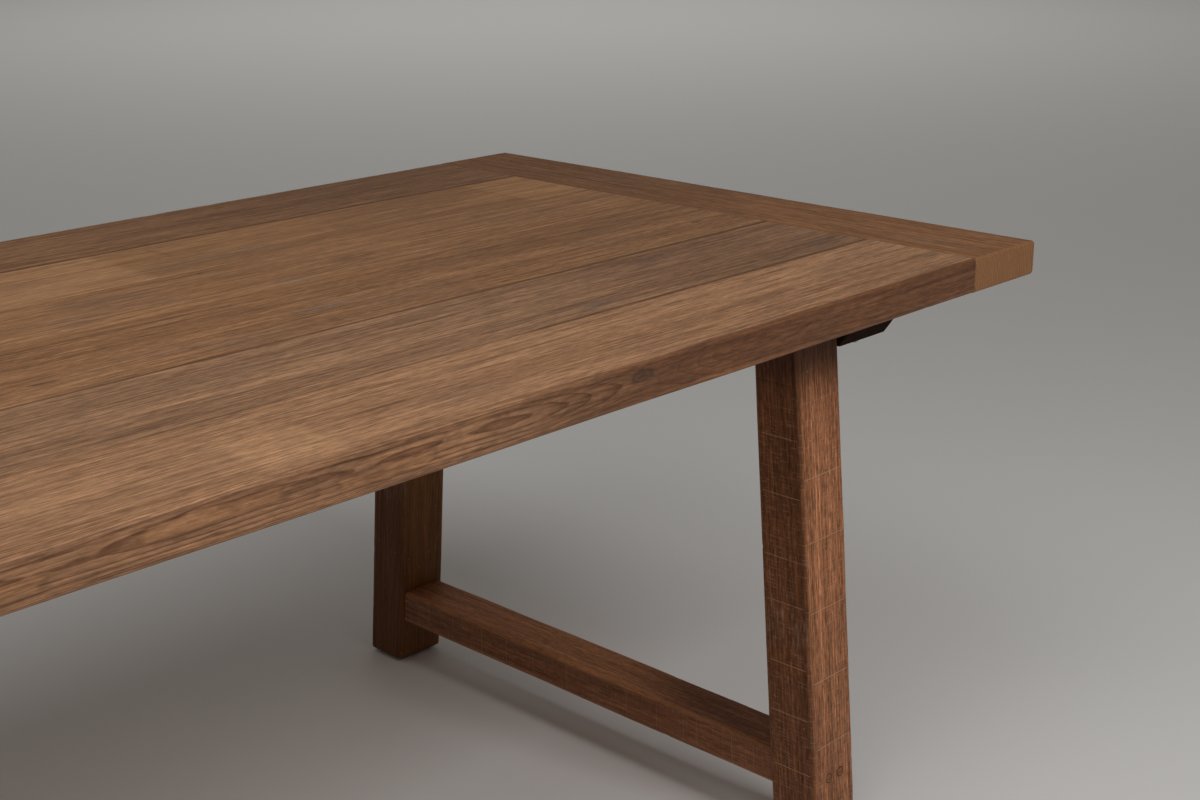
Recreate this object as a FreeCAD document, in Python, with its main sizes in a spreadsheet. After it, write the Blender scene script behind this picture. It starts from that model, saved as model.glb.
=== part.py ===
import FreeCAD, Part
import os
import Sketcher

# Trestle dining table of solid planks, in millimetres.
# The origin is on the floor under the middle of the top. +X runs along the table and +Z is up.
# The right end is at +X, and the front edge is at -Y.

plank_count = 6
screwed_planks = (0, 2, 3, 5)
ends = {"right": 1, "left": -1}
sides = {"front": -1, "back": 1}

sizes = {
    # the whole table
    "table_length": 2400,
    "table_height": 770,
    # planks of the top, with loose splines in their edge joints
    "top_thickness": 45,
    "top_arris": 6,
    "plank_width": 166,
    "plank_gap": 0.8,
    "joint_chamfer": 0.6,
    "spline_width": 30,
    "spline_thickness": 8,
    "spline_clearance": 0.2,
    # breadboard ends, with a stopped groove for the tongues of the planks
    "breadboard_width": 143,
    "groove_stop": 24,
    "tongue_length": 40,
    "tongue_thickness": 14,
    "tongue_clearance": 0.2,
    "tongue_end_gap": 0.8,
    # cross battens under the top, beside the legs, held by hexagon-headed screws
    "batten_width": 100,
    "batten_height": 60,
    "batten_bevel_run": 32,
    "batten_bevel_rise": 44,
    "batten_chamfer": 3,
    "screw_diameter": 8,
    "screw_head_width": 13,
    "screw_head_height": 5.5,
    "screw_bite": 28,
    "screw_edge": 14,
    # splayed legs
    "trestle_inset": 327,
    "foot_inset": 45,
    "splay_angle": 5,
    "leg_depth": 84,
    "leg_width": 73,
    "leg_arris": 6,
    "foot_chamfer": 4,
    # stretchers between the legs, on stub tenons
    "stretcher_clearance": 74,
    "stretcher_height": 52,
    "stretcher_depth": 73,
    "stretcher_arris": 4,
    "tenon_length": 25,
    "tenon_width": 50,
    "tenon_height": 30,
    "tenon_clearance": 0.2,
    "tenon_end_gap": 0.8,
    # dowels through the legs into the stretchers
    "dowel_diameter": 14,
    "dowel_spacing": 25,
    "dowel_bite": 50,
    # one bolt from each leg into its cross batten
    "bolt_diameter": 12,
    "bolt_clearance": 0.4,
    "bolt_head_width": 19,
    "bolt_head_height": 7.5,
    "bolt_tail": 4,
    "bolt_drop": 28,
    "nut_height": 10,
    "washer_side": 38,
    "washer_thickness": 3,
    # pads under the feet
    "pad_height": 4,
    "pad_inset": 9,
    "pad_chamfer": 6,
    # room round each screw and dowel, and past its far end
    "fit_clearance": 0.1,
    "end_clearance": 0.8,
}

doc = FreeCAD.newDocument("TrestleTable")
sheet = doc.addObject("Spreadsheet::Sheet", "Sizes")
for row, (name, value) in enumerate(sizes.items(), 1):
    sheet.set(f"A{row}", name)
    sheet.set(f"B{row}", str(value))
    sheet.setAlias(f"B{row}", name)
doc.recompute()

# Derived lengths of the top
top_width = f"({plank_count} * Sizes.plank_width + {plank_count - 1} * Sizes.plank_gap)"
plank_pitch = "(Sizes.plank_width + Sizes.plank_gap)"
plank_length = "(Sizes.table_length - 2 * Sizes.breadboard_width)"
underside = "(Sizes.table_height - Sizes.top_thickness)"
top_middle = "(Sizes.table_height - Sizes.top_thickness / 2)"

# Derived lengths of the trestles. A leg's heights are counted from the top of its pad.
lean = "tan(Sizes.splay_angle)"
leg_height = f"({underside} - Sizes.pad_height)"
leg_level_width = "(Sizes.leg_width / cos(Sizes.splay_angle))"
trestle_place = "(Sizes.table_length / 2 - Sizes.trestle_inset)"
foot_reach = f"({top_width} / 2 - Sizes.foot_inset)"
stretcher_middle = "(Sizes.stretcher_clearance + Sizes.stretcher_height / 2)"
stretcher_on_leg = f"({stretcher_middle} - Sizes.pad_height)"
shoulder_reach = f"({foot_reach} - {leg_level_width} - {stretcher_on_leg} * {lean})"
tenon_reach = f"({shoulder_reach} + Sizes.tenon_length)"

# Derived lengths of the cross battens and their bolts
batten_place = f"({trestle_place} + Sizes.leg_depth / 2 + Sizes.batten_width / 2)"
batten_flat_reach = f"({foot_reach} - ({leg_height} - Sizes.batten_height) * {lean})"
outer_screw_reach = f"({batten_flat_reach} - Sizes.screw_edge)"
bolt_on_leg = f"({leg_height} - Sizes.bolt_drop)"
bolt_from_face = f"({bolt_on_leg} * {lean} + {leg_level_width} / 2)"
bolt_reach = f"({foot_reach} - {bolt_from_face})"
dowel_hole = "Sizes.dowel_diameter / 2 + Sizes.fit_clearance"
screw_hole = "Sizes.screw_diameter / 2 + Sizes.fit_clearance"
bolt_hole = "Sizes.bolt_diameter / 2 + Sizes.bolt_clearance"

straight = FreeCAD.Rotation()
half_turn = FreeCAD.Rotation(FreeCAD.Vector(0, 0, 1), 180)
pieces = []


def measure(expression):
    return float(sheet.evalExpression(expression))


def new_body(label):
    return doc.addObject("PartDesign::Body", label)


def place(piece, x, y, z, turn=straight):
    piece.Placement = FreeCAD.Placement(FreeCAD.Vector(), turn)
    piece.setExpression("Placement.Base.x", x)
    piece.setExpression("Placement.Base.y", y)
    piece.setExpression("Placement.Base.z", z)


def new_sketch(body, plane_role, offset=None):
    sketch = body.newObject("Sketcher::SketchObject", f"{body.Name}_sketch")
    plane = next(item for item in body.Origin.OriginFeatures if item.Role == plane_role)
    sketch.AttachmentSupport = [(plane, "")]
    sketch.MapMode = "FlatFace"
    if offset:
        sketch.setExpression("AttachmentOffset.Base.z", offset)
    return sketch


# Ties one point of a sketch to its distances from the sketch's axes
def fix_point(sketch, geometry, end, x, y):
    for kind, axis, expression in (("DistanceX", -2, x), ("DistanceY", -1, y)):
        distance = measure(expression)
        if distance == 0:
            sketch.addConstraint(Sketcher.Constraint("PointOnObject", geometry, end, axis))
            continue
        points = (-1, 1, geometry, end) if distance > 0 else (geometry, end, -1, 1)
        number = sketch.addConstraint(Sketcher.Constraint(kind, *points, abs(distance)))
        signed = expression if distance > 0 else f"-({expression})"
        sketch.setExpression(f"Constraints[{number}]", signed)


# Closed outline of straight lines through the given corners
def draw_outline(sketch, corners):
    points = [FreeCAD.Vector(measure(x), measure(y), 0) for x, y in corners]
    first = sketch.GeometryCount
    for start, finish in zip(points, points[1:] + points[:1]):
        sketch.addGeometry(Part.LineSegment(start, finish))
    for index, (x, y) in enumerate(corners):
        following = first + (index + 1) % len(corners)
        sketch.addConstraint(Sketcher.Constraint("Coincident", first + index, 2, following, 1))
        fix_point(sketch, first + index, 1, x, y)


def draw_rectangle(sketch, left, right, low, high):
    draw_outline(sketch, [(left, low), (right, low), (right, high), (left, high)])


def draw_centred(sketch, width, height):
    draw_rectangle(sketch, f"-{width} / 2", f"{width} / 2", f"-{height} / 2", f"{height} / 2")


def draw_circle(sketch, x, y, radius):
    centre = FreeCAD.Vector(measure(x), measure(y), 0)
    circle = Part.Circle(centre, FreeCAD.Vector(0, 0, 1), measure(radius))
    geometry = sketch.addGeometry(circle)
    fix_point(sketch, geometry, 3, x, y)
    number = sketch.addConstraint(Sketcher.Constraint("Radius", geometry, measure(radius)))
    sketch.setExpression(f"Constraints[{number}]", radius)


# Solid grown evenly to both sides of its sketch
def grow(body, sketch, length):
    pad = body.newObject("PartDesign::Pad", f"{body.Name}_pad")
    pad.Profile = sketch
    pad.SideType = "Symmetric"
    pad.setExpression("Length", length)
    return pad


# Cut to both sides of its sketch, right through or of the given length
def cut_across(body, sketch, length=None):
    pocket = body.newObject("PartDesign::Pocket", f"{body.Name}_cut")
    pocket.Profile = sketch
    pocket.SideType = "Symmetric"
    pocket.Type = "Length" if length else "ThroughAll"
    if length:
        pocket.setExpression("Length", length)


# Hole sunk to one side of its sketch, right through or of the given depth
def sink(body, sketch, depth=None, along_normal=False):
    pocket = body.newObject("PartDesign::Pocket", f"{body.Name}_hole")
    pocket.Profile = sketch
    pocket.Reversed = along_normal
    pocket.Type = "Length" if depth else "ThroughAll"
    if depth:
        pocket.setExpression("Length", depth)


# Rounds or bevels the edges of a feature that pass the test
def ease_edges(body, kind, size, wanted):
    doc.recompute()
    base = body.Tip
    names = [f"Edge{number}" for number, edge in enumerate(base.Shape.Edges, 1) if wanted(edge)]
    eased = body.newObject(f"PartDesign::{kind}", f"{body.Name}_eased")
    eased.Base = (base, names)
    eased.setExpression("Radius" if kind == "Fillet" else "Size", size)


# One node of several like pieces, each a copy of the same master
def make_group(label, master, places):
    links = []
    for number, spot in enumerate(places, 1):
        link = doc.addObject("App::Link", f"{label}_{number}")
        link.LinkedObject = master
        place(link, *spot)
        links.append(link)
    compound = doc.addObject("Part::Compound", label)
    compound.Links = links
    pieces.append(compound)


# Place of a plank's middle across the table, counted from the front
def plank_place(index):
    return f"{index - (plank_count - 1) / 2} * {plank_pitch}"


# Place across the table of the screw that holds a plank to a cross batten
def screw_place(index):
    if index == 0:
        return f"-{outer_screw_reach}"
    if index == plank_count - 1:
        return outer_screw_reach
    return plank_place(index)


def make_plank(index):
    body = new_body(f"top_plank_{index + 1}")
    front_edge = index == 0
    back_edge = index == plank_count - 1
    section = new_sketch(body, "YZ_Plane")
    draw_centred(section, "Sizes.plank_width", "Sizes.top_thickness")
    grow(body, section, plank_length)

    def is_outer(edge):
        across = edge.CenterOfMass.y
        return front_edge and across < 0 or back_edge and across > 0

    def is_long(edge):
        return edge.BoundBox.XLength > measure(plank_length) / 2

    if front_edge or back_edge:
        ease_edges(body, "Fillet", "Sizes.top_arris", lambda edge: is_long(edge) and is_outer(edge))
        inner_side = 1 if front_edge else -1
        inner_face = inner_side * measure("Sizes.plank_width") / 2

        def at_joint(edge):
            return is_long(edge) and abs(edge.CenterOfMass.y - inner_face) < Part.Precision.confusion()
    else:
        at_joint = is_long
    ease_edges(body, "Chamfer", "Sizes.joint_chamfer", at_joint)

    # tongues on both ends, kept back from the closed ends of the breadboard grooves
    setback = "Sizes.groove_stop + Sizes.tongue_clearance"
    front = "-Sizes.plank_width / 2" + (f" + {setback}" if front_edge else "")
    back = "Sizes.plank_width / 2" + (f" - ({setback})" if back_edge else "")
    tongue = new_sketch(body, "YZ_Plane")
    draw_rectangle(tongue, front, back, "-Sizes.tongue_thickness / 2", "Sizes.tongue_thickness / 2")
    grow(body, tongue, f"{plank_length} + 2 * Sizes.tongue_length")

    # grooves for the splines, in the edges that meet another plank
    groove_depth = "(Sizes.spline_width - Sizes.plank_gap) / 2 + Sizes.spline_clearance"
    groove_half = "(Sizes.spline_thickness / 2 + Sizes.spline_clearance)"
    grooves = new_sketch(body, "YZ_Plane")
    if not front_edge:
        floor = f"-Sizes.plank_width / 2 + {groove_depth}"
        draw_rectangle(grooves, "-Sizes.plank_width / 2", floor, f"-{groove_half}", groove_half)
    if not back_edge:
        floor = f"Sizes.plank_width / 2 - ({groove_depth})"
        draw_rectangle(grooves, floor, "Sizes.plank_width / 2", f"-{groove_half}", groove_half)
    cut_across(body, grooves, plank_length)

    # holes for the batten screws, in the underside
    if index in screwed_planks:
        screw_holes = new_sketch(body, "XY_Plane", "-Sizes.top_thickness / 2")
        across = f"{screw_place(index)} - ({plank_place(index)})"
        if abs(measure(across)) < Part.Precision.confusion():
            across = "0"
        for end in ends.values():
            draw_circle(screw_holes, f"{end} * {batten_place}", across, screw_hole)
        sink(body, screw_holes, "Sizes.screw_bite + Sizes.end_clearance", along_normal=True)

    place(body, "0", plank_place(index), top_middle)
    pieces.append(body)


def make_spline(index):
    spline = doc.addObject("Part::Box", f"plank_spline_{index + 1}")
    spline.setExpression("Length", plank_length)
    spline.setExpression("Width", "Sizes.spline_width")
    spline.setExpression("Height", "Sizes.spline_thickness")
    joint = f"{plank_place(index)} + {plank_pitch} / 2"
    across = f"{joint} - Sizes.spline_width / 2"
    place(spline, f"-{plank_length} / 2", across, f"{top_middle} - Sizes.spline_thickness / 2")
    pieces.append(spline)


def make_breadboard(end_name):
    end = ends[end_name]
    body = new_body(f"breadboard_{end_name}")
    section = new_sketch(body, "XZ_Plane")
    draw_centred(section, "Sizes.breadboard_width", "Sizes.top_thickness")
    grow(body, section, top_width)
    inner_face = -measure("Sizes.breadboard_width") / 2

    def is_outer_arris(edge):
        return edge.BoundBox.XMax > inner_face + 1 and edge.BoundBox.ZLength < 1

    ease_edges(body, "Fillet", "Sizes.top_arris", is_outer_arris)

    groove_floor = "-Sizes.breadboard_width / 2 + Sizes.tongue_length + Sizes.tongue_end_gap"
    groove_half = "(Sizes.tongue_thickness / 2 + Sizes.tongue_clearance)"
    groove = new_sketch(body, "XZ_Plane")
    draw_rectangle(groove, "-Sizes.breadboard_width / 2", groove_floor, f"-{groove_half}", groove_half)
    cut_across(body, groove, f"{top_width} - 2 * Sizes.groove_stop")

    along = f"{end} * (Sizes.table_length - Sizes.breadboard_width) / 2"
    place(body, along, "0", top_middle, straight if end > 0 else half_turn)
    pieces.append(body)


def make_batten(end_name):
    body = new_body(f"cross_batten_{end_name}")
    tip = f"({batten_flat_reach} + Sizes.batten_bevel_run)"
    nose = "-(Sizes.batten_height - Sizes.batten_bevel_rise)"
    bottom = "-Sizes.batten_height"
    profile = new_sketch(body, "YZ_Plane")
    draw_outline(profile, [
        (f"-{tip}", "0"),
        (f"-{tip}", nose),
        (f"-{batten_flat_reach}", bottom),
        (batten_flat_reach, bottom),
        (tip, nose),
        (tip, "0"),
    ])
    grow(body, profile, "Sizes.batten_width")

    def is_lower_arris(edge):
        return edge.BoundBox.XLength < 1 and edge.CenterOfMass.z < 0

    ease_edges(body, "Chamfer", "Sizes.batten_chamfer", is_lower_arris)

    bolt_holes = new_sketch(body, "YZ_Plane")
    for side in sides.values():
        draw_circle(bolt_holes, f"{side} * {bolt_reach}", "-Sizes.bolt_drop", bolt_hole)
    cut_across(body, bolt_holes)

    screw_holes = new_sketch(body, "XY_Plane")
    for index in screwed_planks:
        draw_circle(screw_holes, "0", screw_place(index), screw_hole)
    sink(body, screw_holes)

    place(body, f"{ends[end_name]} * {batten_place}", "0", underside)
    pieces.append(body)


def make_leg(end_name, side_name):
    end = ends[end_name]
    side = sides[side_name]
    body = new_body(f"leg_{end_name}_{side_name}")
    # the leg leans in towards the top; both ends are cut level
    post = new_sketch(body, "YZ_Plane")
    top_run = f"{leg_height} * {lean}"
    draw_outline(post, [
        ("0", "0"),
        (leg_level_width, "0"),
        (f"{leg_level_width} + {top_run}", leg_height),
        (top_run, leg_height),
    ])
    grow(body, post, "Sizes.leg_depth")
    tall = measure(leg_height) / 2
    ease_edges(body, "Fillet", "Sizes.leg_arris", lambda edge: edge.BoundBox.ZLength > tall)
    ease_edges(body, "Chamfer", "Sizes.foot_chamfer", lambda edge: edge.BoundBox.ZMax < tall)

    mortise = new_sketch(body, "YZ_Plane")
    floor = f"{leg_level_width} + {stretcher_on_leg} * {lean} - Sizes.tenon_length - Sizes.tenon_end_gap"
    mouth = f"{leg_level_width} + {top_run}"
    half_height = "(Sizes.tenon_height / 2 + Sizes.tenon_clearance)"
    low = f"{stretcher_on_leg} - {half_height}"
    draw_rectangle(mortise, floor, mouth, low, f"{stretcher_on_leg} + {half_height}")
    cut_across(body, mortise, "Sizes.tenon_width + 2 * Sizes.tenon_clearance")

    dowel_holes = new_sketch(body, "XZ_Plane")
    for step in (-1, 1):
        draw_circle(dowel_holes, f"{step} * Sizes.dowel_spacing / 2", stretcher_on_leg, dowel_hole)
    sink(body, dowel_holes)

    bolt_holes = new_sketch(body, "YZ_Plane")
    draw_circle(bolt_holes, bolt_from_face, bolt_on_leg, bolt_hole)
    cut_across(body, bolt_holes)

    across = f"{side} * {foot_reach}"
    turn = straight if side < 0 else half_turn
    place(body, f"{end} * {trestle_place}", across, "Sizes.pad_height", turn)
    pieces.append(body)


def make_stretcher(end_name):
    body = new_body(f"stretcher_{end_name}")
    # the shoulders are cut to the lean of the legs
    half = "Sizes.stretcher_height / 2"
    low_reach = f"({shoulder_reach} + {half} * {lean})"
    high_reach = f"({shoulder_reach} - {half} * {lean})"
    rail = new_sketch(body, "YZ_Plane")
    draw_outline(rail, [
        (f"-{low_reach}", f"-{half}"),
        (low_reach, f"-{half}"),
        (high_reach, half),
        (f"-{high_reach}", half),
    ])
    grow(body, rail, "Sizes.stretcher_depth")
    long_edge = measure(shoulder_reach)
    ease_edges(body, "Fillet", "Sizes.stretcher_arris", lambda edge: edge.BoundBox.YLength > long_edge)

    tenons = new_sketch(body, "YZ_Plane")
    draw_centred(tenons, f"(2 * {tenon_reach})", "Sizes.tenon_height")
    grow(body, tenons, "Sizes.tenon_width")

    hole_depth = "Sizes.tenon_length + Sizes.dowel_bite + Sizes.end_clearance"
    for side in sides.values():
        dowel_holes = new_sketch(body, "XZ_Plane", f"{-side} * {tenon_reach}")
        for step in (-1, 1):
            draw_circle(dowel_holes, f"{step} * Sizes.dowel_spacing / 2", "0", dowel_hole)
        sink(body, dowel_holes, hole_depth, along_normal=side > 0)

    place(body, f"{ends[end_name]} * {trestle_place}", "0", stretcher_middle)
    pieces.append(body)


# Dowels are trimmed flush with the leaning outer face of the leg
def make_dowels():
    dowel = new_body("dowel_master")
    rod = new_sketch(dowel, "XZ_Plane", "Sizes.dowel_diameter / 2")
    draw_circle(rod, "0", "0", "Sizes.dowel_diameter / 2")
    stock = dowel.newObject("PartDesign::Pad", "dowel_stock")
    stock.Profile = rod
    stock.Reversed = True
    stock.setExpression("Length", f"Sizes.dowel_diameter / 2 + {leg_level_width} + Sizes.dowel_bite")
    trim = new_sketch(dowel, "YZ_Plane")
    draw_outline(trim, [
        (f"-{lean} * Sizes.dowel_diameter", "-Sizes.dowel_diameter"),
        (f"{lean} * Sizes.dowel_diameter", "Sizes.dowel_diameter"),
        ("-Sizes.dowel_diameter", "Sizes.dowel_diameter"),
        ("-Sizes.dowel_diameter", "-Sizes.dowel_diameter"),
    ])
    cut_across(dowel, trim)
    face_reach = f"({foot_reach} - {stretcher_on_leg} * {lean})"
    for end_name, end in ends.items():
        places = []
        for side in sides.values():
            turn = straight if side < 0 else half_turn
            for step in (-1, 1):
                along = f"{end} * {trestle_place} + {step} * Sizes.dowel_spacing / 2"
                places.append((along, f"{side} * {face_reach}", stretcher_middle, turn))
        make_group(f"stretcher_dowels_{end_name}", dowel, places)


def make_hexagon(label, across_flats, height):
    hexagon = doc.addObject("Part::Prism", label)
    hexagon.Polygon = 6
    hexagon.setExpression("Circumradius", f"{across_flats} / 2 / cos(30)")
    hexagon.setExpression("Height", height)
    return hexagon


def make_rod(label, radius, height):
    rod = doc.addObject("Part::Cylinder", label)
    rod.setExpression("Radius", radius)
    rod.setExpression("Height", height)
    return rod


def make_square(label, side, height):
    square = doc.addObject("Part::Box", label)
    square.setExpression("Length", side)
    square.setExpression("Width", side)
    square.setExpression("Height", height)
    place(square, f"-{side} / 2", f"-{side} / 2", "0")
    return square


# A hexagon head below its seat at the origin, with a shank above it
def make_headed(label, head_width, head_height, diameter, length):
    head = make_hexagon(f"{label}_head", head_width, head_height)
    place(head, "0", "0", f"-{head_height}")
    headed = doc.addObject("Part::Fuse", label)
    headed.Base = head
    headed.Tool = make_rod(f"{label}_shank", f"{diameter} / 2", length)
    return headed


def make_cut(label, base, tool):
    cut = doc.addObject("Part::Cut", label)
    cut.Base = base
    cut.Tool = tool
    return cut


def make_batten_screws():
    screw = make_headed(
        "screw_master", "Sizes.screw_head_width", "Sizes.screw_head_height",
        "Sizes.screw_diameter", "Sizes.batten_height + Sizes.screw_bite")
    seat = f"{underside} - Sizes.batten_height"
    for end_name, end in ends.items():
        along = f"{end} * {batten_place}"
        places = [(along, screw_place(index), seat) for index in screwed_planks]
        make_group(f"batten_screws_{end_name}", screw, places)


# Bolts run outwards through a leg and its batten. Square plates with square holes lie under head and nut.
def make_bolts():
    length = "(Sizes.leg_depth + Sizes.batten_width + 2 * Sizes.washer_thickness"
    length += " + Sizes.nut_height + Sizes.bolt_tail)"
    bolt = make_headed(
        "bolt_master", "Sizes.bolt_head_width", "Sizes.bolt_head_height", "Sizes.bolt_diameter", length)
    plate = make_square("washer_plate", "Sizes.washer_side", "Sizes.washer_thickness")
    hole_side = "(Sizes.bolt_diameter + 2 * Sizes.bolt_clearance)"
    hole = make_square("washer_hole", hole_side, "Sizes.washer_thickness")
    washer = make_cut("washer_master", plate, hole)
    nut_hole = make_rod("nut_hole", "Sizes.bolt_diameter / 2 + Sizes.fit_clearance", "Sizes.nut_height")
    nut_blank = make_hexagon("nut_blank", "Sizes.bolt_head_width", "Sizes.nut_height")
    nut = make_cut("nut_master", nut_blank, nut_hole)

    inner_face = f"({trestle_place} - Sizes.leg_depth / 2)"
    outer_face = f"({trestle_place} + Sizes.leg_depth / 2 + Sizes.batten_width)"
    height = f"{underside} - Sizes.bolt_drop"
    for end_name, end in ends.items():
        outward = FreeCAD.Rotation(FreeCAD.Vector(0, 1, 0), 90 * end)
        head_seat = f"{end} * ({inner_face} - Sizes.washer_thickness)"
        nut_seat = f"{end} * ({outer_face} + Sizes.washer_thickness)"
        rows = [f"{side} * {bolt_reach}" for side in sides.values()]
        bolts = [(head_seat, row, height, outward) for row in rows]
        outer_washers = [(f"{end} * {outer_face}", row, height, outward) for row in rows]
        nuts = [(nut_seat, row, height, outward) for row in rows]
        make_group(f"leg_bolts_{end_name}", bolt, bolts)
        make_group(f"bolt_washers_{end_name}", washer, bolts + outer_washers)
        make_group(f"bolt_nuts_{end_name}", nut, nuts)


def make_pad(end_name, side_name):
    body = new_body(f"foot_pad_{end_name}_{side_name}")
    outline = new_sketch(body, "XY_Plane")
    length = "(Sizes.leg_depth - 2 * Sizes.pad_inset)"
    width = f"({leg_level_width} - 2 * Sizes.pad_inset)"
    draw_centred(outline, length, width)
    grow(body, outline, "Sizes.pad_height")
    ease_edges(body, "Chamfer", "Sizes.pad_chamfer", lambda edge: edge.BoundBox.ZLength > 1)
    across = f"{sides[side_name]} * ({foot_reach} - {leg_level_width} / 2)"
    place(body, f"{ends[end_name]} * {trestle_place}", across, "Sizes.pad_height / 2")
    pieces.append(body)


def check_document():
    doc.recompute()
    for item in doc.Objects:
        if "Invalid" in item.State or "Error" in item.State:
            raise RuntimeError(f"{item.Label} is not up to date: {item.State}")
    for pocket in doc.findObjects("PartDesign::Pocket"):
        if pocket.Shape.Volume >= pocket.BaseFeature.Shape.Volume:
            raise RuntimeError(f"{pocket.Label} cuts nothing")
    for piece in pieces:
        if piece.Shape.isNull() or not piece.Shape.isValid():
            raise RuntimeError(f"{piece.Label} has no valid solid")


for index in range(plank_count):
    make_plank(index)
for index in range(plank_count - 1):
    make_spline(index)
for end_name in ends:
    make_breadboard(end_name)
    make_batten(end_name)
    make_stretcher(end_name)
    for side_name in sides:
        make_leg(end_name, side_name)
        make_pad(end_name, side_name)
make_dowels()
make_batten_screws()
make_bolts()
check_document()

os.makedirs("parts", exist_ok=True)
for piece in pieces:
    piece.Shape.exportStep(f"parts/{piece.Label}.step")
print(f"{len(pieces)} nodes written")
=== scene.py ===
import bpy
import bmesh
import math
import numpy as np
from mathutils import Matrix, Vector, noise


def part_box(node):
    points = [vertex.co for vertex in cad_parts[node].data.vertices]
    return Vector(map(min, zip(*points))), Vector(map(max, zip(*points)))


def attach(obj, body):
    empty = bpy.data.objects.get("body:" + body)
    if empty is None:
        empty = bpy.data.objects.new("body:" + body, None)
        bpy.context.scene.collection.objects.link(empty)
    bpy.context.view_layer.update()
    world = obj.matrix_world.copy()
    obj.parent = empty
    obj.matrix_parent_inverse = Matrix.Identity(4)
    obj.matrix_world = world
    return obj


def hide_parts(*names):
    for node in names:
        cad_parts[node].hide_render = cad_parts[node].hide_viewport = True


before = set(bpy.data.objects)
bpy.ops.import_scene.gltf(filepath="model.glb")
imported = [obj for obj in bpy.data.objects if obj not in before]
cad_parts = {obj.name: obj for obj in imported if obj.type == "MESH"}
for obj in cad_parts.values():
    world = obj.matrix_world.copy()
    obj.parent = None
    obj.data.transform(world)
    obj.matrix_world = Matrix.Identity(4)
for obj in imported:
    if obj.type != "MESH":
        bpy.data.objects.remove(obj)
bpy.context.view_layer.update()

print("frame loaded:", len(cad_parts), "nodes")
tableEnds = (("Right", 1), ("Left", -1))
tableSides = (("Front", -1), ("Back", 1))
crisp = 0.0005  # radius of an arris that nobody rounded


# an output in a node tree; sums and products of wires add the nodes that work them out
class Wire:
    def __init__(self, tree, socket):
        self.tree, self.socket = tree, socket

    def at(self, key):  # another output of the same node
        return Wire(self.tree, self.socket.node.outputs[key])

    def __add__(self, other):
        return reckon("ADD", self, other)

    def __sub__(self, other):
        return reckon("SUBTRACT", self, other)

    def __rsub__(self, other):
        return reckon("SUBTRACT", other, self)

    def __mul__(self, other):
        return reckon("MULTIPLY", self, other)

    def __truediv__(self, other):
        return reckon("DIVIDE", self, other)

    def __rtruediv__(self, other):
        return reckon("DIVIDE", other, self)


# helpers for node trees
def setInputs(tree, made, inputs):
    for key, value in inputs.items():
        socket = made.inputs[key]
        if isinstance(value, Wire):
            tree.links.new(value.socket, socket)
        else:
            socket.default_value = (*value, 1.0) if socket.type == "RGBA" else value


def addNode(tree, kind, inputs=None, out=0, **settings):
    made = tree.nodes.new(kind)
    for name, value in settings.items():
        setattr(made, name, value)
    setInputs(tree, made, inputs or {})
    return Wire(tree, made.outputs[out])


def treeOf(*values):
    return next(value.tree for value in values if isinstance(value, Wire))


def isVector(value):
    return isinstance(value, tuple) or isinstance(value, Wire) and value.socket.type in ("VECTOR", "RGBA")


def reckon(operation, *values, clamp=False):
    tree, inputs = treeOf(*values), dict(enumerate(values))
    if not any(isVector(value) for value in values):
        return addNode(tree, "ShaderNodeMath", inputs, operation=operation, use_clamp=clamp)
    if operation == "MULTIPLY" and not isVector(values[1]):
        operation, inputs = "SCALE", {0: values[0], "Scale": values[1]}
    out = "Value" if operation == "LENGTH" else "Vector"
    return addNode(tree, "ShaderNodeVectorMath", inputs, out, operation=operation)


def fade(value, low, high, start=0.0, end=1.0, shape="SMOOTHSTEP"):
    inputs = {"Value": value, "From Min": low, "From Max": high, "To Min": start, "To Max": end}
    return addNode(value.tree, "ShaderNodeMapRange", inputs, "Result", interpolation_type=shape)


def fadeOut(value, low, high):
    return fade(value, low, high, 1.0, 0.0)


def mixColour(share, first, second):
    return addNode(share.tree, "ShaderNodeMix", {0: share, 6: first, 7: second}, 2, data_type="RGBA")


def splitVector(vector):
    made = addNode(vector.tree, "ShaderNodeSeparateXYZ", {0: vector})
    return [made.at(axis) for axis in range(3)]


def joinVector(x, y, z):
    return addNode(treeOf(x, y, z), "ShaderNodeCombineXYZ", {0: x, 1: y, 2: z})


def grainNoise(vector, stretch, seed, detail=2.0, roughness=0.5, out="Fac"):
    inputs = {"Vector": vector * stretch, "W": seed, "Scale": 1.0, "Detail": detail, "Roughness": roughness}
    return addNode(vector.tree, "ShaderNodeTexNoise", inputs, out, noise_dimensions="4D")


def evenNoise(vector, stretch, seed, size, detail=2.0):
    return (grainNoise(vector, stretch, seed, detail, out="Color") - (0.5, 0.5, 0.5)) * size


socketKinds = {float: "NodeSocketFloat", int: "NodeSocketInt", tuple: "NodeSocketVector"}
zeroVector = (0.0, 0.0, 0.0)


def newGroup(name, kind, inputs, outputs, outKind):
    tree = bpy.data.node_groups.new(name, kind)
    for label, value in inputs.items():
        socketKind = socketKinds.get(type(value), value)
        socket = tree.interface.new_socket(label, in_out="INPUT", socket_type=socketKind)
        if value != socketKind:
            socket.default_value = value
    for label in outputs:
        tree.interface.new_socket(label, in_out="OUTPUT", socket_type=outKind)
    given = {socket.name: Wire(tree, socket) for socket in tree.nodes.new("NodeGroupInput").outputs}
    ending = tree.nodes.new("NodeGroupOutput")

    def put(**results):
        setInputs(tree, ending, results)

    return tree, given, put


def shaderGroup(name, inputs, *outputs):
    return newGroup(name, "ShaderNodeTree", inputs, outputs, "NodeSocketFloat")


def shapeTree(name, sizes):
    inputs = {"Geometry": "NodeSocketGeometry", **sizes, "Finish": "NodeSocketMaterial"}
    return newGroup(name, "GeometryNodeTree", inputs, ["Geometry"], "NodeSocketGeometry")


def useGroup(tree, group, inputs):
    made = addNode(tree, "ShaderNodeGroup", inputs, node_tree=group)
    return {socket.name: Wire(tree, socket) for socket in made.socket.node.outputs}


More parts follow.
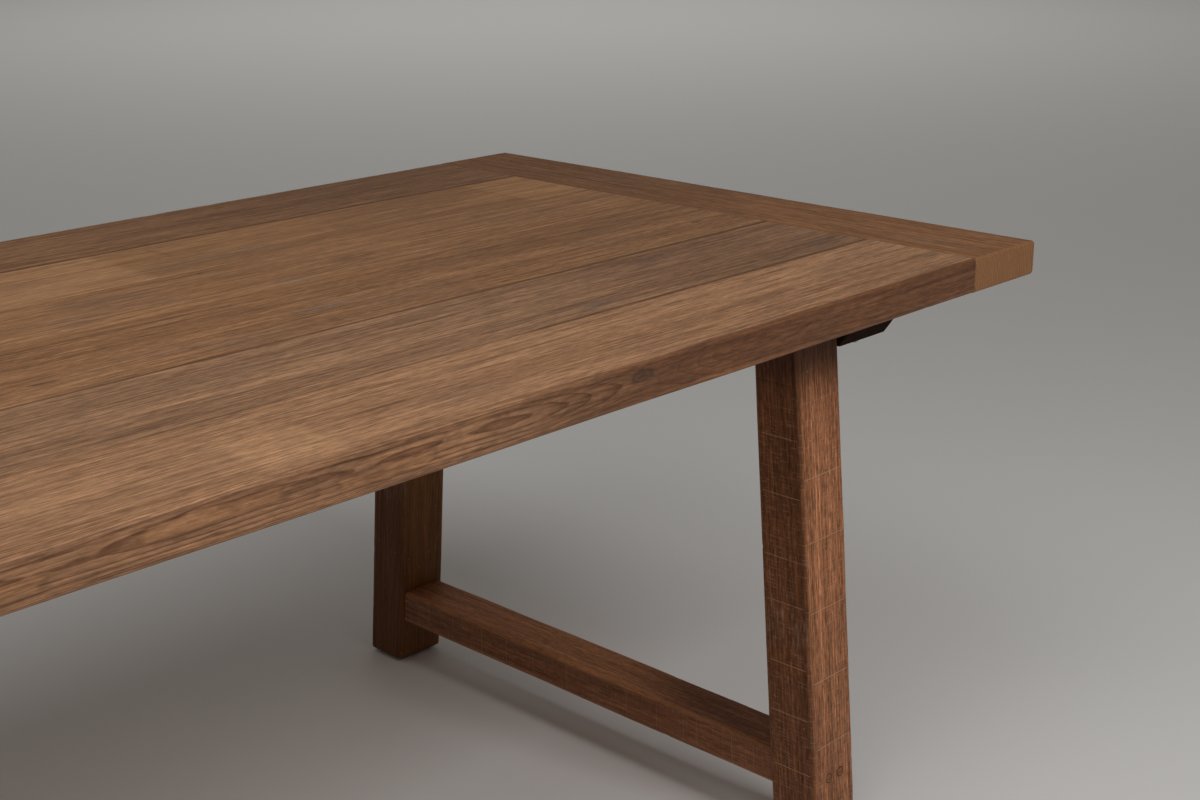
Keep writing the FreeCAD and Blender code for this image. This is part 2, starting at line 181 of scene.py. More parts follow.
def newMaterial(name):
    material = bpy.data.materials.new(name)
    material.use_nodes = True
    return material, material.node_tree


def finishShader(tree, inputs, height, strength, depth):
    relief = {"Height": height, "Strength": strength, "Distance": depth}
    bump = addNode(tree, "ShaderNodeBump", relief, "Normal")
    setInputs(tree, tree.nodes["Principled BSDF"], {**inputs, "Normal": bump})


def addObject(name, data):
    made = bpy.data.objects.new(name, data)
    bpy.context.scene.collection.objects.link(made)
    return made


ringLook = {"driftRate": 9.0, "raggedStretch": (14, 110, 110), "ragged": 0.0016,
            "unevenRate": 0.37, "uneven": 1.6}


# growth rings as wandering tubes round the pith, so face, edge and end grain agree
def makeRingGroup():
    look = ringLook
    tree, given, put = shaderGroup("growthRings", {
        "Grain": zeroVector, "Pith": (0, 0.1, -0.1), "Ring Width": 0.003, "Wander": (0, 0.002, 0.006),
        "Wander Rate": 3.0, "Swell": 0.0, "Seed": 0.0}, "Late", "Rim", "Tone")
    grain, seed = given["Grain"], given["Seed"]
    rate = joinVector(given["Wander Rate"], look["driftRate"], look["driftRate"])
    drift = evenNoise(grain, rate, seed, given["Wander"])
    fromPith = grain + drift - given["Pith"]
    ragged = (grainNoise(grain, look["raggedStretch"], seed, 3.0) - 0.5) * look["ragged"]
    distance = reckon("LENGTH", fromPith * (0, 1, 1)) + ragged + given["Swell"]
    count = distance / given["Ring Width"]
    inputs = {"W": count * look["unevenRate"], "Scale": 1.0}
    uneven = addNode(tree, "ShaderNodeTexNoise", inputs, "Fac", noise_dimensions="1D")
    count = count + uneven * look["uneven"]
    part = reckon("FRACT", count)  # how far across its ring a point lies
    number = {"W": reckon("FLOOR", count) + seed}
    put(Late=fade(part, 0.3, 0.9) * fadeOut(part, 0.93, 1.0),
        Rim=fade(part, 0.7, 0.93) * fadeOut(part, 0.95, 1.0),
        Tone=addNode(tree, "ShaderNodeTexWhiteNoise", number, "Value", noise_dimensions="1D"))
    return tree


# fibres, lines, streaks and pores drawn out along the grain: stretch along and across it, shift of the seed,
# detail and roughness of each layer
fibreLayers = {
    "Fine": (70, 420, 0.0, 3.0, 0.65), "Thread": (8, 330, 1.7, 3.0, 0.62), "Dash": (15, 165, 15.2, 2.0, 0.55),
    "Streak": (3.4, 130, 3.1, 4.0, 0.64), "Band": (1.1, 22, 5.9, 3.0, 0.5), "Bloom": (5, 13, 7.3, 3.0, 0.55),
}
lineLayers = {"Line": (4.5, 120, 9.1, 1.0, 0.5), "Glint": (5.5, 110, 13.6, 1.0, 0.5)}
lineWidths = {"Line": 0.04, "Glint": 0.036}
poreLayer = (34, 430, 11.4, 1.0, 0.5)


def makeFibreGroup():
    tree, given, put = shaderGroup(
        "woodFibre", {"Grain": zeroVector, "Sway": 0.006, "Pore Share": 0.35, "Seed": 0.0},
        "Fine", "Thread", "Dash", "Line", "Glint", "Streak", "Band", "Bloom", "Pore")
    sway = evenNoise(given["Grain"], (5, 16, 16), given["Seed"], (0, 1, 1))
    grain = given["Grain"] + sway * given["Sway"]

    def layer(along, across, shift, detail, roughness):
        return grainNoise(grain, (along, across, across), given["Seed"] + shift, detail, roughness)

    for name, values in fibreLayers.items():
        put(**{name: layer(*values)})
    for name, values in lineLayers.items():
        crossing = reckon("ABSOLUTE", layer(*values) - 0.5)
        put(**{name: fadeOut(crossing, 0.0, lineWidths[name])})
    limit = 0.8 - given["Pore Share"] * 0.3
    put(Pore=fade(layer(*poreLayer), limit, limit + 0.09))
    return tree


patchLook = {"roughStretch": (30, 160, 160), "roughReach": (3.0, 1.0, 1.0)}


# an area of another tone on a board, soft or sharp at its rim
def makePatchGroup():
    tree, given, put = shaderGroup("tonePatch", {
        "Grain": zeroVector, "Centre": zeroVector, "Reach": (0.1, 0.05, 1), "Soft": (0.02, 0.01, 0.01),
        "Ragged": 0.0, "Seed": 0.0}, "Mask")
    rough = evenNoise(given["Grain"], patchLook["roughStretch"], given["Seed"], patchLook["roughReach"], 3.0)
    away = reckon("ABSOLUTE", given["Grain"] + rough * given["Ragged"] - given["Centre"])
    over = splitVector((away - given["Reach"]) / given["Soft"])
    along, across, through = (fadeOut(part, -0.5, 0.5) for part in over)
    put(Mask=along * across * through)
    return tree


knotLook = {"eyeStretch": (0.4, 1.0, 1.0), "nearStretch": (0.16, 0.6, 0.6), "raggedStretch": (90, 260, 260),
            "ripples": 13.0, "rippleDepth": 0.32, "nearFall": -0.3}


# a knot: its dark eye, and how near a point is to it
def makeKnotGroup():
    look = knotLook
    tree, given, put = shaderGroup("boardKnot", {
        "Grain": zeroVector, "Centre": zeroVector, "Radius": 0.008, "Seed": 0.0}, "Eye", "Near")
    away = given["Grain"] - given["Centre"]
    ragged = grainNoise(given["Grain"], look["raggedStretch"], given["Seed"], 3.0) - 0.5
    rim = reckon("LENGTH", away * look["eyeStretch"]) / given["Radius"] + ragged
    ripple = reckon("SINE", rim * look["ripples"]) * look["rippleDepth"] + (1 - look["rippleDepth"])
    wide = reckon("LENGTH", away * look["nearStretch"]) / given["Radius"]
    put(Eye=fadeOut(rim, 0.45, 1.1) * ripple, Near=reckon("EXPONENT", wide * wide * look["nearFall"]))
    return tree


scratchLook = {"scatter": 0.8, "tilt": 0.05, "breakAlong": 7.3, "breakAcross": 70.0, "core": 0.3}


# pale scratches that a saw left square to the grain
def makeSawGroup():
    look = scratchLook
    tree, given, put = shaderGroup("sawScratches", {
        "Along": 0.0, "Across": 0.0, "Pitch": 0.01, "Width": 0.0008, "Seed": 0.0}, "Mask")
    count = given["Along"] / given["Pitch"]
    number = reckon("FLOOR", count)
    spot = {"Vector": joinVector(number, given["Seed"], 0.0)}
    draw = addNode(tree, "ShaderNodeTexWhiteNoise", spot, "Value", noise_dimensions="2D") - 0.5
    away = reckon("FRACT", count) - 0.5 - draw * look["scatter"]
    tilt = draw * (given["Across"] * look["tilt"])
    away = reckon("ABSOLUTE", away * given["Pitch"] + tilt)
    line = fadeOut(away, given["Width"] * look["core"], given["Width"])
    spot = joinVector(number * look["breakAlong"], given["Across"] * look["breakAcross"], given["Seed"])
    broken = addNode(tree, "ShaderNodeTexNoise", {"Vector": spot, "Scale": 1.0, "Detail": 3.0}, "Fac")
    put(Mask=line * fade(broken, 0.45, 0.7))
    return tree


# small pale specks of dust and dents
def makeSpeckGroup():
    tree, given, put = shaderGroup("dustSpecks", {
        "Grain": zeroVector, "Spacing": 0.012, "Size": 0.0012, "Share": 0.3, "Seed": 0.0}, "Mask")
    spacing = given["Spacing"]
    shifted = given["Grain"] + joinVector(given["Seed"], 0.0, 0.0)
    cells = {"Vector": shifted / joinVector(spacing, spacing, spacing), "Scale": 1.0}
    distance = addNode(tree, "ShaderNodeTexVoronoi", cells, "Distance")
    reach = given["Size"] / spacing
    chosen = reckon("LESS_THAN", splitVector(distance.at("Color"))[0], given["Share"])
    put(Mask=fadeOut(distance, reach * 0.4, reach) * chosen)
    return tree


# rubbed arrises, broken up along the grain
def makeWearGroup():
    tree, given, put = shaderGroup("edgeWear", {"Edge": 0.0, "Break Up": 0.5, "Start": 0.75}, "Mask")
    level = given["Edge"] + (given["Break Up"] - 0.5) * 1.2
    put(Mask=fade(level, given["Start"], given["Start"] + 0.5))
    return tree


ringGroup, fibreGroup, patchGroup = makeRingGroup(), makeFibreGroup(), makePatchGroup()
knotGroup, sawGroup = makeKnotGroup(), makeSawGroup()
speckGroup, wearGroup = makeSpeckGroup(), makeWearGroup()
print("shader groups made")

# what every board starts from; a board changes what it needs
woodBase = {
    "light": (0.45, 0.222, 0.098), "dark": (0.22, 0.094, 0.037), "streakTone": (0.16, 0.069, 0.03),
    "paleTone": (0.58, 0.32, 0.16), "bloomTone": (0.27, 0.15, 0.085), "eyeTone": (0.05, 0.028, 0.02),
    "pith": (0, 0.16, -0.10), "ringWidth": 0.0036, "wander": (0, 0.004, 0.008), "wanderRate": 2.0,
    "ringShare": 0.3, "toneShare": 0.25, "bandShare": 0.4, "streakShare": 0.25, "paleShare": 0.12,
    "lineShare": 0.36, "glintShare": 0.2, "threadShare": 0.42, "fineShare": 0.4, "dashShare": 0.19,
    "bloomShare": 0.55, "poreShare": 0.42, "pores": 0.4, "sway": 0.006, "seed": 1.0,
    "patches": (), "knot": None, "figure": None, "endGrain": None, "saw": None, "specks": None,
    "wearTone": (0.48, 0.25, 0.12), "wearShare": 0.04, "jointTone": (0.095, 0.04, 0.017), "jointShare": 0.7,
    "speckTone": (0.6, 0.48, 0.38), "speckShare": 0.5, "roughness": 0.55, "gloss": 0.3, "bump": 0.0007,
    "bumpStrength": 0.7,
}
softTones = (  # layer, where it starts and is full, its share and tone
    ("Bloom", 0.5, 0.72, "bloomShare", "bloomTone"), ("Streak", 0.5, 0.25, "paleShare", "paleTone"),
    ("Streak", 0.5, 0.75, "streakShare", "streakTone"),
)


# an area of another tone: its middle, half size and rim along and across the board,
# then its level and half height in the thickness
def patch(tone, share, at, reach, soft, ragged=0.0, level=0.0, thick=1.0, levelSoft=0.01):
    area = {"Centre": (*at, level), "Reach": (*reach, thick), "Soft": (*soft, levelSoft), "Ragged": ragged}
    return {"tone": tone, "share": share, "area": area}


def makeWood(name, **changes):
    look = {**woodBase, **changes}
    seed, knot, figure, cut, saw = (look[key] for key in ("seed", "knot", "figure", "endGrain", "saw"))
    material, tree = newMaterial(name)
    grain = addNode(tree, "ShaderNodeAttribute", out="Vector", attribute_name="grain")
    edge, joint, kerf = (addNode(tree, "ShaderNodeAttribute", out="Fac", attribute_name=key)
                         for key in ("edge", "joint", "kerf"))
    along, across, through = splitVector(grain)
    onGrain = {"Grain": grain, "Seed": seed}

    ringShare, swell = look["ringShare"], 0.0
    if knot:
        nearKnot = useGroup(tree, knotGroup, {**onGrain, "Centre": knot["at"], "Radius": knot["radius"]})
        swell = nearKnot["Near"] * knot["swell"]
    if figure:
        nearFace = fadeOut(across - figure["face"], figure["deep"] * 0.2, figure["deep"])
        waves = grainNoise(grain, figure["stretch"], seed + 2.0, 2.0, 0.35) - 0.5
        swell = waves * nearFace * figure["height"] + swell
        ringShare = nearFace * 0.2 + ringShare
    rings = useGroup(tree, ringGroup, {
        **onGrain, "Pith": look["pith"], "Ring Width": look["ringWidth"], "Wander": look["wander"],
        "Wander Rate": look["wanderRate"], "Swell": swell})
    fibre = useGroup(tree, fibreGroup, {**onGrain, "Sway": look["sway"], "Pore Share": look["pores"]})

    late = rings["Late"] * ringShare + rings["Tone"] * look["toneShare"]
    band = fade(fibre["Band"], 0.35, 0.65, 0.0, look["bandShare"])
    colour = mixColour(reckon("ADD", late, band, clamp=True), look["light"], look["dark"])

    def tint(mask, tone):
        nonlocal colour
        colour = mixColour(mask, colour, tone)

    for layer, start, full, share, tone in softTones:
        tint(fade(fibre[layer], start, full, 0.0, look[share]), look[tone])
    tint(fibre["Glint"] * look["glintShare"], look["paleTone"])
    tint(fibre["Line"] * look["lineShare"], look["streakTone"])
    if figure:
        tint(rings["Rim"] * (nearFace * figure["share"]), figure["tone"])
    for spot in look["patches"]:
        mask = useGroup(tree, patchGroup, {"Grain": grain, "Seed": seed + 3.0, **spot["area"]})["Mask"]
        tint(mask * spot["share"], spot["tone"])

    def shade(layer, share):
        return fade(fibre[layer], 0.25, 0.75, 1 - share, 1 + share, "LINEAR")

    shades = shade("Thread", look["threadShare"]) * shade("Fine", look["fineShare"])
    colour = colour * (shades * shade("Dash", look["dashShare"]))
    tint(fibre["Pore"] * look["poreShare"], look["streakTone"])
    if knot:
        tint(nearKnot["Eye"] * knot["share"], look["eyeTone"])
    if cut:
        onEnd = fade(reckon("ABSOLUTE", along), cut["from"], cut["from"] + cut["soft"], 0.0, cut["share"])
        tint(onEnd, mixColour(rings["Late"], cut["light"], cut["dark"]))
    wear = useGroup(tree, wearGroup, {"Edge": edge, "Break Up": fibre["Streak"]})["Mask"]
    tint(wear * look["wearShare"], look["wearTone"])
    raised = fibre["Thread"] * 0.6 + fibre["Fine"] * 0.4 + rings["Late"] * 0.25
    height = raised - fibre["Pore"] * 0.5
    if saw:
        mask = kerf * fade(grainNoise(grain, (9, 55, 55), seed), 0.2, 0.42)
        for number, (pitch, width, share) in enumerate(saw["lines"]):
            lines = useGroup(tree, sawGroup, {"Along": along, "Across": across + through, "Pitch": pitch,
                                              "Width": width, "Seed": seed + number})["Mask"]
            mask = reckon("MAXIMUM", mask, lines * share)
        below = fadeOut(along, saw["until"] - 0.06, saw["until"] + 0.02)
        tint(mask * below * saw["share"], saw["tone"])
        height = height - mask * 0.6
    if look["specks"]:
        mask = useGroup(tree, speckGroup, {**onGrain, **look["specks"]})["Mask"]
        tint(mask * look["speckShare"], look["speckTone"])
    tint(fade(joint, 0.45, 0.95, 0.0, look["jointShare"]), look["jointTone"])
    rough = fade(fibre["Thread"], 0.25, 0.75, look["roughness"] + 0.1, look["roughness"] - 0.08, "LINEAR")
    inputs = {"Base Color": colour, "Roughness": rough, "Specular IOR Level": look["gloss"]}
    finishShader(tree, inputs, height, look["bumpStrength"], look["bump"])
    return material


def finishTree(geometry, given, put):
    whole = addNode(geometry.tree, "GeometryNodeRealizeInstances", {"Geometry": geometry})
    dressed = {"Geometry": whole, "Material": given["Finish"]}
    put(Geometry=addNode(geometry.tree, "GeometryNodeSetMaterial", dressed))


def pointValue(tree, name, kind):
    return addNode(tree, "GeometryNodeInputNamedAttribute", {"Name": name}, data_type=kind)


reliefLook = {"waveStretch": (4, 20, 20), "dentStretch": (34, 46, 46), "faceDents": 0.15}


# relief of a worn board: long waves along the grain and small dents, deeper at the arrises
def makeReliefTree():
    look = reliefLook
    tree, given, put = shapeTree("boardRelief", {"Wave Height": 0.0003, "Dent Depth": 0.0004, "Seed": 0.0})
    grain, edge = pointValue(tree, "grain", "FLOAT_VECTOR"), pointValue(tree, "edge", "FLOAT")
    wave = (grainNoise(grain, look["waveStretch"], given["Seed"], 3.0) - 0.5) * given["Wave Height"]
    dent = fade(grainNoise(grain, look["dentStretch"], given["Seed"]), 0.6, 0.78) * given["Dent Depth"]
    push = wave * 2.0 - dent * (edge + look["faceDents"])
    offset = addNode(tree, "GeometryNodeInputNormal", out="Normal") * push
    moved = addNode(tree, "GeometryNodeSetPosition", {"Geometry": given["Geometry"], "Offset": offset})
    finishTree(moved, given, put)
    return tree


def runTree(piece, tree, values, sharpFrom=None):
    modifier = piece.modifiers.new(tree.name, "NODES")
    modifier.node_group = tree
    for item in tree.interface.items_tree:
        if item.in_out == "INPUT" and item.name in values:
            modifier[item.identifier] = values[item.name]
    graph = bpy.context.evaluated_depsgraph_get()
    finished = bpy.data.meshes.new_from_object(
        piece.evaluated_get(graph), preserve_all_data_layers=True, depsgraph=graph)
    piece.modifiers.clear()
    raw = piece.data
    piece.data = finished
    bpy.data.meshes.remove(raw)
    finished.name = piece.name
    finished.shade_smooth()
    if sharpFrom is not None:
        finished.set_sharp_from_angle(angle=math.radians(sharpFrom))


def joinFrame(piece, nodes):
    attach(piece, "root")
    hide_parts(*nodes)


reliefTree = makeReliefTree()

# how finely every board is cut up, and how far its rubbed arrises reach
boardLook = {"arcSteps": 5, "endTurns": (0, 18, 36, 54, 72), "capShares": (0.1, 0.35, 0.6, 0.82),
             "rub": 0.007, "leastArris": 0.25}
highSide = ("arris0", "face0", "arris1")  # the side of a board where u is high, with its arrises
lowSide = ("arris2", "face2", "arris3")


# rounded section of a board at each station; corners run round from u high, v low
def sectionRings(uLow, uHigh, vLow, vHigh, radii, uSteps, vSteps):
    arcSteps = boardLook["arcSteps"]
    corners = [(uHigh, vLow, 1, -1), (uHigh, vHigh, 1, 1), (uLow, vHigh, -1, 1), (uLow, vLow, -1, -1)]
    arcs = []
    for number, (u, v, uSign, vSign) in enumerate(corners):
        radius = radii[:, number][:, None]
        angle = np.radians(90 * (number - 1) + np.linspace(0, 90, arcSteps + 1))[None, :]
        arcs.append(np.stack([
            (u[:, None] - uSign * radius) + radius * np.cos(angle),
            (v[:, None] - vSign * radius) + radius * np.sin(angle)], axis=2))
    rows, side, fromCorner = [], [], []
    for number, arc in enumerate(arcs):
        steps = vSteps if number % 2 == 0 else uSteps
        following = arcs[(number + 1) % 4][:, 0, :]
        share = (np.arange(1, steps + 1) / (steps + 1))[None, :, None]
        rows += [arc, arc[:, -1:, :] * (1 - share) + following[:, None, :] * share]
        side += [f"arris{number}"] * (arcSteps + 1) + [f"face{number}"] * steps
        reach = np.linalg.norm(following - arc[:, -1, :], axis=1).mean()
        fromCorner += [0.0] * (arcSteps + 1) + list(np.minimum(share, 1 - share)[0, :, 0] * reach)
    return np.concatenate(rows, axis=1), np.array(side), np.array(fromCorner)


def wobble(value, rate, seed):
    return np.array([noise.noise(Vector((x * rate, seed * 3.17, 0.5))) for x in value])


def unevenArris(look, along, seed):
    return look["arris"] * (1 + look["arrisVary"] * wobble(along, look["arrisRate"], seed))


def columns(*parts):
    return np.stack(parts, axis=1)


def atBothEnds(make):
    for endName, end in tableEnds:
        make(endName, end)


# a board as one closed skin: stations along the grain, rounded ends and ringed caps
def buildBoard(name, look, start, end, section, place, endRound=(crisp, crisp), cuts=(), marks=None):
    (first, last), step = endRound, look["step"]
    stations = np.arange(start + first + step / 2, end - last - step / 2, step)
    stations = np.unique(np.concatenate([[start + first], stations, [end - last], np.array(cuts)]).round(6))
    turns = np.radians(boardLook["endTurns"])
    sink, pull = 1 - np.cos(turns), 1 - np.sin(turns)
    along = np.concatenate([start + first * sink, stations, (end - last * sink)[::-1]])
    inset = np.concatenate([first * pull, np.zeros(len(stations)), (last * pull)[::-1]])
    uLow, uHigh, vLow, vHigh, *radii = (np.broadcast_to(value, along.shape) for value in section(along))
    radii = columns(*radii)
    radii = np.maximum(radii - inset[:, None], radii * boardLook["leastArris"])
    rings, side, fromCorner = sectionRings(uLow + inset, uHigh - inset, vLow + inset, vHigh - inset, radii,
                                           *look["faceSteps"])
    count = rings.shape[1]
    middle = columns((uLow + uHigh) / 2, (vLow + vHigh) / 2)[:, None, :]
    capShares = np.array(boardLook["capShares"])
    caps = len(capShares)
    lower = middle[0] + (rings[0] - middle[0]) * capShares[:, None, None]
    upper = middle[-1] + (rings[-1] - middle[-1]) * capShares[::-1, None, None]
    full = np.concatenate([lower, rings, upper])
    alongFull = np.concatenate([[along[0]] * caps, along, [along[-1]] * caps])
    total = len(alongFull)
    local = np.concatenate([np.repeat(alongFull, count)[:, None], full.reshape(-1, 2)], axis=1)
    local = np.concatenate([local, [[along[0], *middle[0, 0]], [along[-1], *middle[-1, 0]]]])

    offCaps = np.ones((total, count))
    offCaps[:caps] = offCaps[-caps:] = 0.0
    levels = {"edge": np.exp(-fromCorner / boardLook["rub"])[None, :], "joint": 0.0, "kerf": 0.0}
    if marks:
        levels.update(marks(alongFull[:, None], side[None, :]))

    index = np.arange(total * count).reshape(total, count)
    onward = np.roll(index, -1, axis=1)
    quads = np.stack([index[:-1], onward[:-1], onward[1:], index[1:]], axis=2).reshape(-1, 4)
    low, high = total * count, total * count + 1
    fans = [(low, onward[0, i], index[0, i]) for i in range(count)]
    fans += [(high, index[-1, i], onward[-1, i]) for i in range(count)]
    mesh = bpy.data.meshes.new(name)
    mesh.from_pydata(place(local).tolist(), [], quads.tolist() + fans)
    built = bmesh.new()
    built.from_mesh(mesh)
    if built.calc_volume(signed=True) < 0:
        bmesh.ops.reverse_faces(built, faces=built.faces[:])
    built.to_mesh(mesh)
    built.free()
    grain = mesh.attributes.new("grain", "FLOAT_VECTOR", "POINT")
    grain.data.foreach_set("vector", local.astype(np.float32).ravel())
    for key, level in levels.items():
        values = np.append(level * offCaps, [0.0, 0.0]).astype(np.float32)
        mesh.attributes.new(key, "FLOAT", "POINT").data.foreach_set("value", values)
    mesh.update()
    return addObject(name, mesh)


def finishBoard(piece, wood, look, seed, nodes):
    values = {"Wave Height": look["wave"], "Dent Depth": look["dents"], "Seed": seed, "Finish": wood}
    runTree(piece, reliefTree, values)
    joinFrame(piece, nodes)


# a board that each end of the table has one of
def makeEndBoard(name, look, wood, endName, end, section, place, **shape):
    piece = buildBoard(f"{name}{endName}", look, -look["reach"], look["reach"], section, place, **shape)
    finish = makeWood(f"{look['woodName']}{endName}", seed=look["woodSeed"] + end * look["seedStep"], **wood)
    nodes = [f"{look['node']}_{endName.lower()}"]
    finishBoard(piece, finish, look, look["reliefSeed"] + end, nodes)


# top planks, front to back
plankLow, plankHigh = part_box("top_plank_1")
breadboardLow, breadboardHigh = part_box("breadboard_right")
plankLook = {
    "pitch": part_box("top_plank_2")[0].y - plankLow.y, "width": plankHigh.y - plankLow.y,
    "thickness": plankHigh.z - plankLow.z, "reach": breadboardLow.x, "under": plankLow.z,
    "arris": 0.0052, "arrisVary": 0.3, "arrisRate": 5.0, "tightGap": 0.0002, "openGap": 0.0009,
    "tightArris": 0.0003, "jointArris": 0.0008, "jointTurn": 0.06, "jointDirt": 0.35,
    "jointVary": 0.25, "jointRate": 7.0, "jointSeed": 30,
    "wave": 0.0003, "dents": 0.0006, "step": 0.009, "faceSteps": (26, 8), "seedStep": 5.0,
}
jointLines = (  # how open each joint is along the table: left of a place and right of it
    {"turn": 0.46, "left": 0.4, "right": 1.0}, {"turn": 0.55, "left": 0.6, "right": 0.95},
    {"turn": 0.24, "left": 0.55, "right": 0.3}, {"turn": 0.94, "left": 0.12, "right": 0.4},
    {"turn": 0.3, "left": 0.8, "right": 0.8},
)
greyTone, stainTone, slateTone = (0.19, 0.12, 0.085), (0.15, 0.068, 0.034), (0.24, 0.165, 0.135)
paleTone, edgeTone, warmTone = (0.58, 0.31, 0.155), (0.13, 0.047, 0.018), (0.47, 0.24, 0.105)
streakOnEdge, rimTone, islandTone = (0.42, 0.18, 0.07), (0.12, 0.045, 0.02), (0.48, 0.235, 0.108)
frontFace = -plankLook["width"] / 2  # the front edge of the top, across the first plank
frontIslands = (  # pale islands on the front edge: along it, height, half length
    (-0.84, 0.004, 0.09), (-0.61, -0.006, 0.06), (-0.44, 0.006, 0.08), (-0.29, -0.004, 0.05),
    (-0.08, 0.0065, 0.066), (0.10, -0.004, 0.05),
)


def onEdge(tone, share, along, reach, soft, ragged=0.0, deep=0.004, **heights):
    return patch(tone, share, (along, frontFace), (reach, deep), (soft, deep), ragged, **heights)


def edgeIslands():
    layers = ((0.0016, rimTone, 0.5), (0.0, islandTone, 0.57))
    return [onEdge(tone, share, along, reach + grow * 3, 0.012, 0.012, 0.003,
                   level=level, thick=0.006 + grow, levelSoft=0.003)
            for along, level, reach in frontIslands for grow, tone, share in layers]


def darkEnd(share, along=0.85, reach=0.2, soft=0.4):
    return patch(stainTone, share, (along, 0.0), (reach, 0.1), (soft, 0.1))


plankWoods = (
    dict(light=(0.50, 0.266, 0.138), dark=(0.25, 0.117, 0.055), pith=(0, -0.107, 0.004), ringWidth=0.0022,
         wander=(0, 0.004, 0.012), lineShare=0.42, seed=11.3,
         figure={"face": frontFace, "deep": 0.022, "height": 0.014, "stretch": (3.6, 14, 20), "share": 0.7,
                 "tone": (0.13, 0.05, 0.022)},
         knot={"at": (0.437, frontFace, 0.008), "radius": 0.0095, "swell": 0.01, "share": 0.8},
         patches=(
             patch(paleTone, 0.1, (-0.43, -0.02), (0.5, 0.055), (0.006, 0.04)),
             patch(paleTone, 0.55, (0.03, -0.025), (0.044, 0.045), (0.016, 0.03)),
             patch(stainTone, 0.3, (-0.4, -0.04), (0.25, 0.02), (0.3, 0.04), 0.02),
             onEdge(edgeTone, 0.1, 0.0, 1.1, 0.1),
             onEdge(edgeTone, 0.83, 0.9, 0.56, 0.4),
             *edgeIslands(),
             onEdge(edgeTone, 0.4, 0.0, 1.1, 0.1, 0.012, level=0.0165, thick=0.002),
             onEdge(edgeTone, 0.55, 0.56, 0.12, 0.12, 0.02, level=0.0125, thick=0.003, levelSoft=0.005),
             onEdge(streakOnEdge, 0.5, 0.56, 0.14, 0.12, 0.01, level=-0.018, thick=0.002, levelSoft=0.005),
             patch(greyTone, 0.85, (1.03, -0.031), (0.014, 0.004), (0.03, 0.006), 0.01),
             patch(stainTone, 0.6, (0.98, -0.025), (0.04, 0.002), (0.06, 0.004), 0.01),
         )),
    dict(light=(0.43, 0.235, 0.125), dark=(0.23, 0.114, 0.058), pith=(0, 0.11, -0.09),
         wander=(0, 0.010, 0.012), wanderRate=6.0, seed=23.7, sway=0.012, bloomShare=0.5, toneShare=0.3,
         patches=(
             patch(greyTone, 0.55, (0.57, -0.055), (0.03, 0.014), (0.06, 0.02), 0.02),
             patch(greyTone, 0.55, (0.77, 0.045), (0.03, 0.014), (0.06, 0.02), 0.02),
             patch(greyTone, 0.55, (0.99, -0.055), (0.03, 0.012), (0.05, 0.02), 0.02),
             patch(paleTone, 0.25, (0.4, -0.02), (0.6, 0.006), (0.3, 0.008), 0.01),
             darkEnd(0.44),
         )),
    dict(light=(0.42, 0.208, 0.094), dark=(0.213, 0.094, 0.038), pith=(0, -0.15, -0.08), seed=35.1,
         knot={"at": (0.99, -0.015, 0.02), "radius": 0.006, "swell": 0.004, "share": 0.85},
         patches=(
             patch(slateTone, 0.8, (0.355, -0.004), (0.03, 0.003), (0.04, 0.006), 0.008),
             patch(stainTone, 0.35, (0.52, -0.015), (0.004, 0.05), (0.02, 0.03), 0.02),
             patch(stainTone, 0.7, (-0.015, -0.036), (0.012, 0.003), (0.01, 0.004), 0.01),
             darkEnd(0.15),
         )),
    dict(light=(0.47, 0.235, 0.104), dark=(0.24, 0.107, 0.043), pith=(0, 0.17, -0.11), seed=47.9,
         fineShare=0.3, dashShare=0.16,
         knot={"at": (0.352, 0.069, 0.02), "radius": 0.004, "swell": 0.003, "share": 0.85},
         patches=(
             patch(slateTone, 0.7, (0.41, -0.045), (0.03, 0.003), (0.04, 0.006), 0.008),
             patch(stainTone, 0.35, (0.535, -0.003), (0.03, 0.018), (0.06, 0.03), 0.03),
             patch(greyTone, 0.4, (0.2, 0.037), (0.05, 0.02), (0.08, 0.03), 0.03),
             darkEnd(0.15),
         )),
    dict(light=(0.465, 0.236, 0.104), dark=(0.245, 0.11, 0.044), pith=(0, -0.19, -0.07), seed=59.2,
         fineShare=0.24, dashShare=0.1, lineShare=0.25,
         patches=(
             patch(paleTone, 0.36, (-0.4, 0.0), (0.705, 0.1), (0.02, 0.03)),
             patch(stainTone, 0.4, (0.383, 0.03), (0.003, 0.03), (0.012, 0.02), 0.01),
             darkEnd(0.29, 0.8, 0.15, 0.3),
             patch(warmTone, 0.5, (1.0, -0.003), (0.055, 0.078), (0.006, 0.004)),
         )),
    dict(light=(0.36, 0.18, 0.083), dark=(0.19, 0.088, 0.039), pith=(0, 0.14, -0.12), seed=71.6,
         bloomShare=0.45, patches=(darkEnd(0.44, 0.8, 0.3, 0.6),)),
)
lastPlank = len(plankWoods) - 1


def jointOpen(number, along):
    line = jointLines[number]
    blend = np.clip((along - line["turn"]) / plankLook["jointTurn"] + 0.5, 0, 1)
    level = line["left"] * (1 - blend) + line["right"] * blend
    uneven = wobble(np.ravel(along), plankLook["jointRate"], number + plankLook["jointSeed"])
    return level * (1 + plankLook["jointVary"] * uneven.reshape(np.shape(along)))


